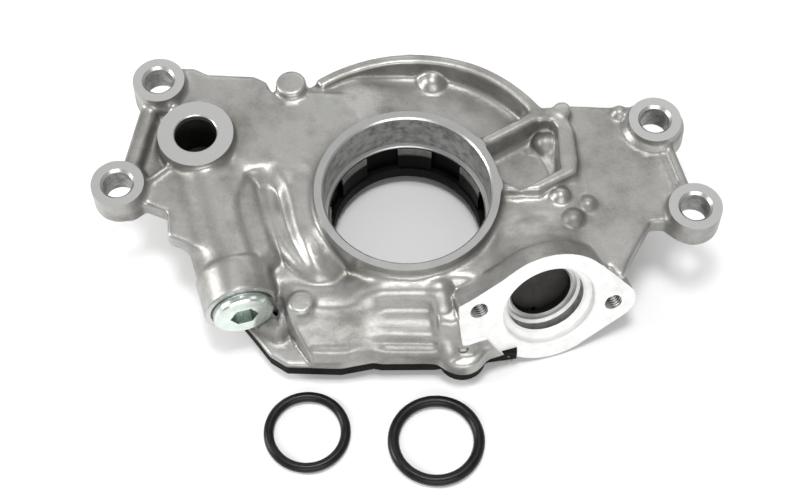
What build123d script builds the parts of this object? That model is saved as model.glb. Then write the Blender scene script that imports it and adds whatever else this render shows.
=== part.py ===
from build123d import *
import math
import os

# Engine oil pump: a gerotor pump that the crankshaft's nose drives, with its pressure relief
# valve, cover and two loose pickup-tube O-rings. Sizes are millimetres.
# Frame: the origin is on the crank axis, in the plane that bolts to the engine block.
# +Z points to the block, +Y up the engine, and +X to the side of the pickup flange.

# ---- gerotor set ----
INNER_LOBES = 10
OUTER_LOBES = INNER_LOBES + 1
ECCENTRICITY = 2.4
LOBE_CIRCLE = 36.3
LOBE_RADIUS = 5.5
TIP_CLEARANCE = 0.06
ROTOR_THICKNESS = 10.9
END_PLAY = 0.05
OUTER_ROTOR_WALL = 3.6
ROTOR_RUNNING_FIT = 0.07
ROTOR_CHAMFER = 0.5
SPLINE_COUNT = 7
SPLINE_LAND_RADIUS = 23.9
SPLINE_DEPTH = 1.6
SPLINE_LAND_ANGLE = 26.0
SPLINE_PHASE = 83.6

# ---- crank ring and rotor pocket ----
CRANK_BORE_RADIUS = 25.8
CRANK_BORE_DEPTH = 14.0
CRANK_LEDGE_RADIUS = 24.4
CRANK_RING_WALL = 2.8
POCKET_ROOF_DEPTH = 15.0

# ---- case, cover and their screws ----
CASE_RADIUS = 47.5
ARC_WALL_RADIUS = 51.7
ARC_WALL_THICKNESS = 3.6
CASE_FLANGE_THICKNESS = 4.0
CASE_GAP = 0.7
COVER_THICKNESS = 4.3
COVER_BORE_RADIUS = 23.5
SCREW_PLACES = [
    (-36.6, 40.8),
    (8.4, 45.6),
    (43.9, 21.2),
    (51.1, -6.7),
    (16.5, -43.0),
    (-32.3, -34.8),
    (-49.6, -2.0),
]
SCREW_LOBE_RADIUS = 7.3
SCREW_SHANK_RADIUS = 2.95
SCREW_SHANK_LENGTH = 11.5
SCREW_THREAD_GAP = 0.05
SCREW_HOLE_CLEARANCE = 0.3
SCREW_FLANGE_RADIUS = 6.3
SCREW_FLANGE_THICKNESS = 1.2
SCREW_HEAD_FLATS = 8.0
SCREW_HEAD_HEIGHT = 3.7
SCREW_BOSS_RADIUS = 4.0

# ---- levels of the casting, below the mounting plane ----
WING_TOP_DEPTH = 4.0
WING_THICKNESS = 6.0
RECESS_DEPTH = 8.5
BODY_TOP_DEPTH = 10.0
BODY_FOOT_DEPTH = 23.0
BODY_SLOPE = 22.8
VALLEY_DEPTH = 9.6
RIB_TOP_DEPTH = 0.4
ARC_SLOPE = 0.058

# ---- swellings of the casting: each point is x, y, z and the radius there ----
SWELL_ROUTE = [
    (-48.0, 16.5, -10.2, 6.4),
    (-38.8, 9.0, -9.8, 5.9),
    (-36.6, 0.0, -9.8, 5.9),
    (-35.2, -6.3, -9.8, 5.9),
    (-31.7, -13.0, -9.8, 5.9),
    (-27.7, -18.6, -9.8, 5.8),
    (-23.8, -21.6, -10.0, 5.5),
]
FRONT_ROUTE = [
    (-14.0, -35.6, -11.4, 3.9),
    (-9.4, -33.0, -9.6, 4.4),
    (-3.4, -31.8, -9.3, 4.6),
    (4.1, -31.4, -9.3, 4.6),
    (9.0, -30.6, -9.3, 4.6),
]
LEDGE_ROUTES = [
    [(-8.5, -36.9, -15.5, 2.3), (-6.5, -36.6, -15.2, 2.6), (7.0, -36.9, -15.2, 2.6)],
    [(-10.0, -39.5, -17.6, 2.1), (-7.5, -39.2, -17.6, 2.6), (7.0, -39.8, -17.6, 2.6)],
    [(-28.0, -46.2, -20.6, 1.5), (-18.6, -46.0, -20.6, 1.6), (-12.6, -44.6, -20.4, 1.6),
     (-8.5, -44.9, -20.6, 1.5), (6.5, -45.3, -20.6, 1.5)],
]
COLUMN_ROUTE = [(11.6, -43.4, -21.0, 3.6), (10.4, -39.0, -15.5, 3.9), (9.0, -33.4, -9.8, 4.2)]

# ---- ears that bolt to the block ----
EAR_PLACES = {
    "upper_left": (-78.5, 41.1),
    "lower_left": (-88.9, 2.7),
    "upper_right": (77.7, 24.9),
    "lower_right": (87.7, -6.8),
}
EAR_RADIUS = 8.25
EAR_HEIGHT = 10.0
EAR_HOLE_RADIUS = 4.5
EAR_CHAMFER = 0.8

# ---- outlet boss ----
OUTLET_PLACE = (-65.8, 20.8)
OUTLET_BOSS_RADIUS = 11.9
OUTLET_BORE_RADIUS = 6.65
OUTLET_CHAMFER = 0.3

# ---- relief valve, whose axis starts under the outlet boss ----
VALVE_ANGLE = 15.9
VALVE_AXIS_DEPTH = 12.5
VALVE_LENGTH = 57.4
VALVE_BOSS_RADIUS = 11.0
VALVE_COLLAR_RADIUS = 11.7
VALVE_COLLAR_LENGTH = 12.4
VALVE_COLLAR_CHAMFER = 1.3
VALVE_TAIL = 8.0
VALVE_BORE_RADIUS = 7.0
VALVE_SEAT_RADIUS = 5.5
VALVE_SEAT_DISTANCE = 10.4
PLUNGER_LENGTH = 22.0
PLUNGER_FIT = 0.04
PLUNGER_WALL = 1.1
PLUNGER_CROWN = 4.0
PLUG_HEAD_RADIUS = 9.25
PLUG_HEAD_HEIGHT = 2.8
PLUG_HEAD_ROOM = 0.5
PLUG_THREAD_RADIUS = 8.0
PLUG_THREAD_LENGTH = 11.0
PLUG_THREAD_GAP = 0.05
PLUG_SOCKET_FLATS = 7.7
PLUG_SOCKET_DEPTH = 5.5
PLUG_SPRING_SEAT = 4.0
SPRING_WIRE = 1.5
SPRING_TURNS = 8
SPRING_SIDE_GAP = 0.25
RETURN_TUBE_RADIUS = 5.0
RETURN_BORE_RADIUS = 3.0
RETURN_OFFSET = 10.0
RETURN_DEPTH = 10.0
RETURN_DUCT_RADIUS = 2.0

# ---- pickup flange, tilted up and turned out ----
PICKUP_PLACE = (43.1, -33.8, -14.0)
PICKUP_TURN = 16.2
PICKUP_TILT = 20.2
PICKUP_SEAL_RADIUS = 14.6
PICKUP_SEAL_DEPTH = 3.0
PICKUP_BORE_RADIUS = 12.2
PICKUP_BORE_DEPTH = 8.5
PICKUP_THROAT_RADIUS = 9.6
PICKUP_THROAT_DEPTH = 20.0
PICKUP_FLOOR = 3.2
PICKUP_FLANGE_THICKNESS = 7.5
PICKUP_RIM_RADIUS = 20.4
PICKUP_BARREL_RADIUS = 18.5
PICKUP_BARREL_LENGTH = 21.0
PICKUP_HOLES = [(-21.8, 6.1), (20.5, -4.9)]
PICKUP_HOLE_RADIUS = 2.95
PICKUP_HOLE_DEPTH = 11.0
PICKUP_EAR_RADIUS = 7.0

# ---- O-rings that lie on the bench before the pump ----
SMALL_ORING = {"place": (-30.8, -66.3), "middle_radius": 11.7, "cord_radius": 1.55}
LARGE_ORING = {"place": (8.3, -69.4), "middle_radius": 13.0, "cord_radius": 1.75}

# ---- worked out from the sizes above ----
pocket_roof = -POCKET_ROOF_DEPTH
joint_face = pocket_roof - ROTOR_THICKNESS - 2 * END_PLAY
cover_face = joint_face - COVER_THICKNESS
bench = cover_face - SCREW_HEAD_HEIGHT
inner_root_radius = LOBE_CIRCLE - LOBE_RADIUS - ECCENTRICITY
outer_root_radius = LOBE_CIRCLE - LOBE_RADIUS + 2 * ECCENTRICITY
outer_rotor_radius = outer_root_radius + OUTER_ROTOR_WALL
pocket_radius = outer_rotor_radius + ROTOR_RUNNING_FIT
outer_rotor_place = (0, ECCENTRICITY)
ring_radius = CRANK_BORE_RADIUS + CRANK_RING_WALL
arc_inner_radius = ARC_WALL_RADIUS - ARC_WALL_THICKNESS
wing_top = -WING_TOP_DEPTH
wing_bottom = wing_top - WING_THICKNESS
recess_floor = -RECESS_DEPTH
case_flange_top = joint_face + CASE_FLANGE_THICKNESS
rib_top = -RIB_TOP_DEPTH


def valve_plane():
    """The plane of the valve boss's end face: its normal points out of the boss."""
    turn = math.radians(VALVE_ANGLE)
    outward = (math.sin(turn), -math.cos(turn), 0)
    end = (
        OUTLET_PLACE[0] + VALVE_LENGTH * outward[0],
        OUTLET_PLACE[1] + VALVE_LENGTH * outward[1],
        -VALVE_AXIS_DEPTH,
    )
    return Plane(origin=end, x_dir=(math.cos(turn), math.sin(turn), 0), z_dir=outward)


def pickup_plane():
    """The plane of the pickup flange's face: its normal points out, its y axis up the face."""
    turn = math.radians(PICKUP_TURN)
    tilt = math.radians(PICKUP_TILT)
    normal = (
        math.sin(turn) * math.cos(tilt),
        -math.cos(turn) * math.cos(tilt),
        math.sin(tilt),
    )
    return Plane(origin=PICKUP_PLACE, x_dir=(math.cos(turn), math.sin(turn), 0), z_dir=normal)


def prism(outline, low, high):
    """The outline, pulled up from one level to another."""
    return extrude(Pos(0, 0, low) * outline, amount=high - low)


def rod(plane, radius, start, end, x=0, y=0):
    """A round bar along a plane's normal, between two distances from the plane."""
    return extrude(plane * Pos(x, y, start) * Circle(radius), amount=end - start)


def tube_between(start, end, radius):
    """A round bar from one point to another, with a round end at each."""
    axis = Vector(*end) - Vector(*start)
    bar = extrude(Plane(origin=start, z_dir=axis) * Circle(radius), amount=axis.length)
    return bar + Pos(*start) * Sphere(radius) + Pos(*end) * Sphere(radius)


def rounded_outline(points, radius):
    """A closed outline through the points, with its corners rounded."""
    return make_face(FilletPolyline(*points, radius=radius, close=True))


def bar_outline(start, end, width):
    """A straight bar seen from above, with round ends."""
    length = math.dist(start, end)
    turn = math.degrees(math.atan2(end[1] - start[1], end[0] - start[0]))
    middle = ((start[0] + end[0]) / 2, (start[1] + end[1]) / 2)
    return Pos(*middle) * Rot(0, 0, turn) * SlotOverall(length + width, width)


def sector_outline(inner, outer, start, end):
    """Part of a ring round the crank axis, between two angles in degrees."""
    reach = 2 * outer
    corners = [(0, 0)]
    steps = 6
    for step in range(steps + 1):
        angle = math.radians(start + (end - start) * step / steps)
        corners.append((reach * math.cos(angle), reach * math.sin(angle)))
    wedge = make_face(Polyline(*corners, close=True))
    return (Circle(outer) - Circle(inner)) & wedge


# ---- rotors ----
def inner_rotor_outline():
    """The curve that rolls inside the outer rotor's round lobes.

    A lobe's centre draws a trochoid round the inner rotor, and the rotor's flank lies one
    lobe radius and the tip clearance inside it.
    """
    offset = LOBE_RADIUS + TIP_CLEARANCE
    points = []
    steps = INNER_LOBES * 16
    for step in range(steps):
        t = 2 * math.pi * step / steps
        x = LOBE_CIRCLE * math.cos(t) + ECCENTRICITY * math.cos(OUTER_LOBES * t)
        y = LOBE_CIRCLE * math.sin(t) + ECCENTRICITY * math.sin(OUTER_LOBES * t)
        dx = -LOBE_CIRCLE * math.sin(t) - OUTER_LOBES * ECCENTRICITY * math.sin(OUTER_LOBES * t)
        dy = LOBE_CIRCLE * math.cos(t) + OUTER_LOBES * ECCENTRICITY * math.cos(OUTER_LOBES * t)
        speed = math.hypot(dx, dy)
        points.append((x - offset * dy / speed, y + offset * dx / speed))
    return make_face(Spline(*points, periodic=True))


def spline_bore():
    """The rotor's bore: wide lands that drive it, with clearance between them."""
    gap_radius = SPLINE_LAND_RADIUS + SPLINE_DEPTH
    bore = Circle(SPLINE_LAND_RADIUS)
    gap_angle = 360 / SPLINE_COUNT - SPLINE_LAND_ANGLE
    for index in range(SPLINE_COUNT):
        start = SPLINE_PHASE + SPLINE_LAND_ANGLE / 2 + index * 360 / SPLINE_COUNT
        bore += sector_outline(SPLINE_LAND_RADIUS - 1, gap_radius, start, start + gap_angle)
    return bore


def make_inner_rotor():
    """The inner rotor, on the crank axis."""
    face = inner_rotor_outline() - spline_bore()
    low = joint_face + END_PLAY
    return prism(face, low, low + ROTOR_THICKNESS)


def make_outer_rotor():
    """The outer rotor, off the crank axis by the eccentricity, in mesh with the inner one."""
    cavity = Circle(outer_root_radius + TIP_CLEARANCE)
    mesh_angle = 90 / OUTER_LOBES
    for index in range(OUTER_LOBES):
        angle = math.radians(mesh_angle + index * 360 / OUTER_LOBES)
        centre = (LOBE_CIRCLE * math.cos(angle), LOBE_CIRCLE * math.sin(angle))
        cavity -= Pos(*centre) * Circle(LOBE_RADIUS)
    low = joint_face + END_PLAY
    blank = prism(Circle(outer_rotor_radius), low, low + ROTOR_THICKNESS)
    blank = chamfer(blank.edges(), ROTOR_CHAMFER)
    ring = blank - prism(cavity, low - 1, low + ROTOR_THICKNESS + 1)
    return Pos(*outer_rotor_place) * ring


# ---- case and cover ----
def case_outline():
    """The outline that the case and its cover share."""
    rear = Circle(ARC_WALL_RADIUS) & Pos(0, ARC_WALL_RADIUS) * Rectangle(200, 2 * ARC_WALL_RADIUS)
    corner_points = [(-40, -10), (-51, -26), (-51.4, -32), (-46.2, -38.8), (-42.2, -44.2)]
    corner_points += [(-37, -47.7), (-20.5, -48.3), (-10.5, -46.3), (9, -46.8), (9, -20)]
    toe_points = [(10, -30), (20, -47), (24.5, -44.4), (33.4, -43.1), (33.4, -30)]
    outline = Circle(CASE_RADIUS) & Pos(0, 100 - 46.8) * Rectangle(200, 200)
    outline += rear
    outline += rounded_outline(corner_points, 1.5)
    outline += make_face(Polyline(*toe_points, close=True))
    for place in SCREW_PLACES:
        outline += Pos(*place) * Circle(SCREW_LOBE_RADIUS)
    outline += Pos(0.9, 47.5) * Circle(6.5)
    return outline


def make_cover_plate():
    """The flat steel cover, with the crank hole and clearance holes for its screws."""
    plate = prism(case_outline(), cover_face, joint_face)
    plate -= prism(Circle(COVER_BORE_RADIUS), cover_face - 1, joint_face + 1)
    hole_radius = SCREW_SHANK_RADIUS + SCREW_HOLE_CLEARANCE
    for place in SCREW_PLACES:
        plate -= prism(Pos(*place) * Circle(hole_radius), cover_face - 1, joint_face + 1)
    return plate


def make_cover_screw(place):
    """A flanged hexagon screw that comes up through the cover into the case."""
    head_low = cover_face - SCREW_HEAD_HEIGHT
    flange_low = cover_face - SCREW_FLANGE_THICKNESS
    hexagon = RegularPolygon(SCREW_HEAD_FLATS / 2, 6, major_radius=False)
    screw = prism(hexagon, head_low, flange_low)
    screw = chamfer(screw.faces().sort_by(Axis.Z)[0].edges(), 0.4)
    screw += prism(Circle(SCREW_FLANGE_RADIUS), flange_low, cover_face)
    shank = prism(Circle(SCREW_SHANK_RADIUS), cover_face, cover_face + SCREW_SHANK_LENGTH)
    screw += chamfer(shank.faces().sort_by(Axis.Z)[-1].edges(), 0.6)
    return Pos(*place) * screw


# ---- the cast housing ----
def left_wing_outline():
    """The thin web that carries the two left ears and the outlet boss."""
    points = [(-30, 38), (-42.7, 39.3), (-44.5, 43.2), (-48.5, 45.5), (-63.4, 46.4), (-68, 48.8)]
    points += [(-78.5, 48.9), (-86, 41.1), (-84.2, 33.5), (-88.2, 13.7), (-96, 2.7)]
    points += [(-84.8, -4.6), (-81, -2.3), (-73.9, -5.3), (-73.1, -13.8), (-58, -20.6)]
    points += [(-50, 9), (-41, 12), (-30, 10)]
    return rounded_outline(points, 1.2)


def right_wing_outline():
    """The thin web that carries the two right ears."""
    points = [(40, 30), (49, 33.4), (52.2, 33.4), (64.5, 32.7), (69, 33), (77.7, 32.2)]
    points += [(84.8, 26), (83.2, 17.9), (86.9, 3.9), (94, -6.8), (87, -13.5), (78.5, -10)]
    points += [(74.3, -10.4), (66.9, -23.9), (65, -29), (52, -30), (44, -10)]
    return rounded_outline(points, 1.0)


def shoulder_outline():
    """The high part of the case round the crank ring, up to the wings' level."""
    points = [(-31, 42), (-49, 36), (-56, 15), (-47, 13.5), (-40.5, 8), (-37, 0), (-35.5, -6.5)]
    points += [(-32.5, -13), (-29.5, -17.5), (-26, -20.5), (-22, -20.5), (-19, -21.5)]
    points += [(-14, -26), (-9, -31), (-5, -33), (12, -33.5), (24, -32), (50, -24)]
    points += [(57.5, -6), (55.5, 8), (53, 32), (30, 38)]
    return rounded_outline(points, 1.5)


def body_outline():
    """The foot of the case's sloping side wall, set back a little from the flange's edge."""
    points = [(-48, 4), (-52, -16), (-43, -31), (-36, -33), (-34.6, -38), (-29.3, -46.8)]
    points += [(-27.2, -44.2), (-12.6, -42.3), (-6.5, -45), (7, -45.6), (13, -46.5)]
    points += [(20, -46.5), (24, -41.5), (36, -33), (45.5, -14), (54, -10), (54.5, -1)]
    points += [(46, 8), (20, 30), (-30, 38)]
    return make_face(Polyline(*points, close=True))


def make_body():
    """The case's side, whose wall leans in from its foot up to its top."""
    base = Pos(0, 0, -BODY_FOOT_DEPTH) * body_outline()
    body = extrude(base, amount=BODY_FOOT_DEPTH - BODY_TOP_DEPTH, taper=BODY_SLOPE)
    return body + prism(body_outline(), joint_face + 1, -BODY_FOOT_DEPTH)


def valley_outline():
    """The low flat between the relief valve and the case, round the front-left screw."""
    points = [(-54, 10), (-50, -18), (-46, -29), (-41.4, -31.5), (-38.6, -33.6), (-37, -37)]
    points += [(-36.2, -39), (-31, -39), (-28.3, -37.6), (-21.7, -39.8), (-15.8, -38.8)]
    points += [(-9.4, -35.6), (0, -34), (8, -20), (-10, 0), (-35, 12)]
    return rounded_outline(points, 0.8)


def pocket_frame_outline():
    """The raised frame round the side pocket, whose upper and lower sides are its ribs."""
    points = [(22.9, 20.3), (34.9, 27), (38.8, 30.2), (44.1, 31.4), (50, 31), (51.5, 26.4)]
    points += [(53.2, 22), (54, 10.3), (53.2, 5.4), (40.6, -1.4), (28.5, -1.4), (20, 0), (18, 17)]
    return rounded_outline(points, 1.0)


def make_recess():
    """The room to cut between the crank ring and the arc wall, with a ramp at its left end."""
    deep = prism(sector_outline(ring_radius, arc_inner_radius, 33, 96), recess_floor, 5)
    deep -= prism(pocket_frame_outline(), recess_floor - 1, 6)
    ramp_face = make_face(Polyline((6, 5), (6, recess_floor), (-4, recess_floor), (-27, wing_top),
                                   (-27, 5), close=True))
    ramp = extrude(Plane.XZ * ramp_face, amount=-60)
    shallow = prism(sector_outline(ring_radius + 2.5, arc_inner_radius, 90, 121), recess_floor, 5)
    return deep + (ramp & shallow)


def side_pocket_outline():
    """The open pocket right of the crank ring, between its two ribs."""
    points = [(22, 14.6), (25.9, 17), (39.9, 25.2), (45.6, 25.2), (47.3, 22.8), (47.6, 7.4)]
    points += [(35.1, -0.1), (29, 3.2), (22, 4)]
    return rounded_outline(points, 1.0) - Circle(ring_radius)


def wing_pocket_outline():
    """The open triangle between the two left ears and the outlet boss."""
    points = [(-76, 32.5), (-79.5, 33), (-84, 12), (-80.5, 6.2), (-72, 13), (-70, 27)]
    return rounded_outline(points, 1.5) - Pos(*OUTLET_PLACE) * Circle(OUTLET_BOSS_RADIUS + 0.6)


def make_ribs():
    """The ribs and walls that stand on the case up to the mounting plane."""
    arc = prism(sector_outline(arc_inner_radius, ARC_WALL_RADIUS, 30.5, 123), joint_face + 1, 0)
    slope = Polyline((60, 5), (60, ARC_SLOPE * 35), (-60, -ARC_SLOPE * 85), (-60, 5), close=True)
    arc -= extrude(Plane.XZ * make_face(slope), amount=-80)
    parts = arc + prism(Pos(1.4, 50.4) * Circle(2.9), joint_face + 1, -2.6)
    return parts + prism(Pos(48.9, 29.3) * Circle(3.2), joint_face + 8, rib_top)


def make_ear(place):
    """A round ear that stands through its wing, with its top face in the mounting plane."""
    return prism(Pos(*place) * Circle(EAR_RADIUS), -EAR_HEIGHT, 0)


def make_case():
    """The case round the rotors, with no bores yet."""
    case = prism(case_outline(), joint_face, case_flange_top)
    case += prism(Circle(ARC_WALL_RADIUS) & Pos(0, 65) * Rectangle(200, 100), joint_face + 1, -5)
    case += make_body()
    case += prism(valley_outline(), joint_face + 3, -VALLEY_DEPTH)
    case += prism(shoulder_outline(), -BODY_TOP_DEPTH - 8, wing_top)
    case += prism(pocket_frame_outline(), -BODY_TOP_DEPTH - 2, rib_top)
    case -= make_recess()
    case -= prism(side_pocket_outline(), recess_floor, 5)
    case += prism(Circle(ring_radius), pocket_roof - 2, 0)
    case += make_ribs()
    return case


def make_screw_bosses():
    """Blind bosses over the cover screws, each with a domed or flat top."""
    rear_left, rear, right_rear, right, front, front_left, left = SCREW_PLACES
    bosses = prism(Pos(*rear_left) * Circle(SCREW_BOSS_RADIUS), joint_face + 1, -2.4)
    bosses += prism(Pos(*front_left) * Circle(SCREW_BOSS_RADIUS - 0.2), joint_face + 1, -8.4)
    for place, top in ((rear, -5.2), (right_rear, -4.0), ((50.7, -8.6), -1.4)):
        bosses += prism(Pos(*place) * Circle(SCREW_BOSS_RADIUS), joint_face + 1, top - 3)
        bosses += Pos(place[0], place[1], top - SCREW_BOSS_RADIUS) * Sphere(SCREW_BOSS_RADIUS)
    bosses += tube_between((43.9, 20.2, -8.8), (47.2, 9.5, -9.7), 2.8)
    bosses += Pos(47.2, -0.4, -4.7) * Sphere(3.3)
    bosses += Pos(55.4, -3.4, -4.8) * Sphere(2.6)
    bosses += prism(Pos(*front) * Circle(5.2), joint_face + 1, -20)
    return bosses + swelling(COLUMN_ROUTE)


def swelling(route):
    """A chain of round bars through points, each bar as thick as its first point asks."""
    chain = None
    for start, end in zip(route, route[1:]):
        bar = tube_between(start[:3], end[:3], (start[3] + end[3]) / 2)
        chain = bar if chain is None else chain + bar
    return chain


def make_galleries():
    """The rounded bulges of the oil galleries on the outside of the casting."""
    duct = tube_between((-38, 10, -12), (OUTLET_PLACE[0], OUTLET_PLACE[1], -12), 8.0)
    bulges = duct + swelling(SWELL_ROUTE) + swelling(FRONT_ROUTE)
    for route in LEDGE_ROUTES:
        bulges += swelling(route)
    return bulges


def make_valve_boss():
    """The round boss of the relief valve, with its collar and the return gallery beside it."""
    plane = valve_plane()
    boss = rod(plane, VALVE_BOSS_RADIUS, -VALVE_LENGTH - VALVE_TAIL, -2)
    collar = rod(plane, VALVE_COLLAR_RADIUS, -VALVE_COLLAR_LENGTH, 0)
    collar = chamfer(collar.edges(), VALVE_COLLAR_CHAMFER)
    boss += collar
    rise = VALVE_AXIS_DEPTH - RETURN_DEPTH
    side = rod(plane, RETURN_TUBE_RADIUS, -48, -14, RETURN_OFFSET, rise)
    side += plane * Pos(RETURN_OFFSET, rise, -48) * Sphere(RETURN_TUBE_RADIUS)
    side += plane * Pos(RETURN_OFFSET, rise, -14) * Sphere(RETURN_TUBE_RADIUS)
    foot_points = [(-47, -28), (-46.6, -36), (-44, -38.6), (-39.6, -41.9), (-36.8, -38.6)]
    foot = prism(rounded_outline(foot_points + [(-36, -28)], 1.2), case_flange_top - 1, -20.8)
    foot += prism(rounded_outline([(-41, -30), (-40.2, -38), (-37, -37), (-36.6, -30)], 1),
                  case_flange_top - 1, -16)
    shelf = prism(rounded_outline([(-60, -14), (-62, -26), (-44, -31), (-36, -20), (-44, 0)], 2),
                  case_flange_top - 1, -14)
    block = boss + side + foot + shelf
    return block & Pos(-55, 0, joint_face + 15) * Box(80, 160, 30)


def pickup_flange_outline():
    """The oval pickup flange, with a square ear and a round one."""
    rim = Circle(PICKUP_RIM_RADIUS)
    left, right = PICKUP_HOLES
    neck = make_hull((rim.edges() + (Pos(*right) * Circle(PICKUP_EAR_RADIUS)).edges()))
    ear_points = [(left[0] - 6.5, -4.8), (left[0] - 6.5, left[1] + 3.6), (left[0] - 1.6, 11.4)]
    ear_points += [(-5.6, 19.4), (0, 0), (-14, -14.8), (-20.6, -4.8)]
    return rim + neck + rounded_outline(ear_points, 1.2)


def make_pickup_boss():
    """The pickup flange and the round barrel that joins it to the case."""
    plane = pickup_plane()
    flange = extrude(plane * pickup_flange_outline(), amount=-PICKUP_FLANGE_THICKNESS)
    barrel = rod(plane, PICKUP_BARREL_RADIUS, -PICKUP_BARREL_LENGTH, -1)
    boss = flange + barrel
    above = boss & Pos(0, 0, joint_face + 50) * Box(300, 300, 100)
    below = boss - prism(Circle(CASE_RADIUS + CASE_GAP), bench - 5, joint_face)
    for place in SCREW_PLACES:
        below -= prism(Pos(*place) * Circle(SCREW_LOBE_RADIUS + CASE_GAP), bench - 5, joint_face)
    below &= Pos(84, 0, bench + 50) * Box(100, 300, 100)
    return above + below


def clear_pickup_face(housing):
    """Takes away what stands in front of the pickup flange's face, but for the screw's column."""
    front = extrude(pickup_plane() * offset(pickup_flange_outline(), 1.2), amount=30)
    front_screw = SCREW_PLACES[4]
    return housing - front + prism(Pos(*front_screw) * Circle(5.0), joint_face + 1, -17.2)


def cut_valve(housing):
    """Bores the relief valve, its seat and the outlet."""
    plane = valve_plane()
    seat = VALVE_LENGTH - VALVE_SEAT_DISTANCE
    housing -= rod(plane, PLUG_HEAD_RADIUS + PLUG_HEAD_ROOM, 0, 20)
    housing -= rod(plane, PLUG_THREAD_RADIUS, -PLUG_THREAD_LENGTH - 2, 1)
    housing -= rod(plane, VALVE_BORE_RADIUS, -seat, 0)
    housing -= rod(plane, VALVE_SEAT_RADIUS, -VALVE_LENGTH, -seat + 1)
    outlet = Pos(*OUTLET_PLACE) * Circle(OUTLET_BORE_RADIUS)
    housing -= prism(outlet, -VALVE_AXIS_DEPTH - 5.5, 1)
    mouth = Pos(*OUTLET_PLACE, 0) * Cone(
        OUTLET_BORE_RADIUS, OUTLET_BORE_RADIUS + 2 * OUTLET_CHAMFER, 2 * OUTLET_CHAMFER
    )
    return housing - mouth


def cut_galleries(housing):
    """Bores the discharge, return and suction galleries, which join the ports inside."""
    plane = valve_plane()
    rise = VALVE_AXIS_DEPTH - RETURN_DEPTH
    port = -VALVE_LENGTH + VALVE_SEAT_DISTANCE + 7
    start = plane.from_local_coords((RETURN_OFFSET, rise, port))
    turn = plane.from_local_coords((RETURN_OFFSET, rise, -15))
    housing -= tube_between(tuple(plane.from_local_coords((0, rise, port))), tuple(start), 2.6)
    housing -= tube_between(tuple(start), tuple(turn), RETURN_BORE_RADIUS)
    route = [tuple(turn), (-43.6, -19.4, -12.6), (-38.6, -28.5, -13.8), (-25, -35.4, -13.8)]
    route += [(-17.5, -36, -14), (-12, -35, -12.2), (-6, -33.6, -11.9), (8, -32.6, -11.9)]
    route += [(14.5, -30, -12.6)]
    for here, there in zip(route, route[1:]):
        housing -= tube_between(here, there, RETURN_DUCT_RADIUS)
    housing -= tube_between((-34, 8, -12.5), (OUTLET_PLACE[0], OUTLET_PLACE[1], -12.5), 5)
    housing -= tube_between((41, -23, -10.6), (27.5, -13.5, -11.4), 4)
    return housing


def cut_pickup(housing):
    """Bores the pickup flange: the O-ring's step, the inlet, its throat and two tapped holes."""
    plane = pickup_plane()
    inlet = rod(plane, PICKUP_BORE_RADIUS, -PICKUP_BORE_DEPTH, -1)
    inlet += rod(plane, PICKUP_THROAT_RADIUS, -PICKUP_THROAT_DEPTH, -1)
    wall = CASE_RADIUS + CASE_GAP + PICKUP_FLOOR
    inlet -= prism(Circle(wall), bench - 20, joint_face + PICKUP_FLOOR)
    inlet -= prism(Circle(pocket_radius + ECCENTRICITY + 3), bench - 20, pocket_roof + 3)
    housing -= inlet
    housing -= rod(plane, PICKUP_SEAL_RADIUS, -PICKUP_SEAL_DEPTH, 1)
    for x, y in PICKUP_HOLES:
        housing -= rod(plane, PICKUP_HOLE_RADIUS, -PICKUP_HOLE_DEPTH, 1, x, y)
    return housing


def cut_rotor_room(housing):
    """Bores the rotor pocket, the crank passage and the two kidney ports."""
    pocket = Pos(*outer_rotor_place) * Circle(pocket_radius)
    housing -= prism(pocket, joint_face - 1, pocket_roof)
    housing -= prism(Circle(CRANK_LEDGE_RADIUS), pocket_roof - 1, 1)
    housing -= prism(Circle(CRANK_BORE_RADIUS), -CRANK_BORE_DEPTH, 1)
    for start, end in ((-70, 66), (108, 244)):
        port = sector_outline(inner_root_radius + 0.6, outer_root_radius, start, end)
        housing -= prism(port, pocket_roof - 1, pocket_roof + 3.6)
    return housing


def make_housing():
    """The die-cast housing with all that is machined in it."""
    housing = make_case() + make_screw_bosses() + make_galleries()
    housing += prism(left_wing_outline(), wing_bottom, wing_top)
    housing += prism(right_wing_outline(), wing_bottom, wing_top)
    housing -= prism(wing_pocket_outline(), wing_top - 3.2, 5)
    housing = clear_pickup_face(housing + make_valve_boss()) + make_pickup_boss()
    housing += prism(Pos(*OUTLET_PLACE) * Circle(OUTLET_BOSS_RADIUS), -VALVE_AXIS_DEPTH, 0)
    housing += prism(bar_outline((-80.2, 5.4), (-72.8, 12), 1.6), wing_top - 4, wing_top + 1.2)
    housing += prism(bar_outline((-76, 36), (-70, 29), 3.4), wing_top - 4, wing_top + 1.4)
    housing += prism(bar_outline((-81.4, 33), (-85.6, 12), 4.4), wing_bottom, wing_top + 1)
    housing += prism(bar_outline((80.6, 17.5), (84.6, 3), 4.2), wing_bottom, wing_top + 1.2)
    for place in EAR_PLACES.values():
        housing += make_ear(place)
    collar = Pos(*EAR_PLACES["upper_right"]) * Circle(EAR_RADIUS + 1.5)
    housing += prism(collar, wing_bottom, wing_top + 1.3)
    for place in EAR_PLACES.values():
        housing -= prism(Pos(*place) * Circle(EAR_RADIUS + 6), 0, 6)
        housing -= prism(Pos(*place) * Circle(EAR_HOLE_RADIUS), -EAR_HEIGHT - 1, 1)
        mouth = Cone(EAR_HOLE_RADIUS - 0.2, EAR_HOLE_RADIUS + EAR_CHAMFER, EAR_CHAMFER + 0.2)
        housing -= Pos(place[0], place[1], -EAR_CHAMFER / 2 + 0.1) * mouth
    housing = cut_rotor_room(housing)
    housing = cut_pickup(housing)
    housing = cut_valve(housing)
    housing = cut_galleries(housing)
    hole_radius = SCREW_SHANK_RADIUS + SCREW_THREAD_GAP
    hole_top = cover_face + SCREW_SHANK_LENGTH + 0.4
    for place in SCREW_PLACES:
        housing -= prism(Pos(*place) * Circle(hole_radius), joint_face - 1, hole_top)
    return housing


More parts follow.
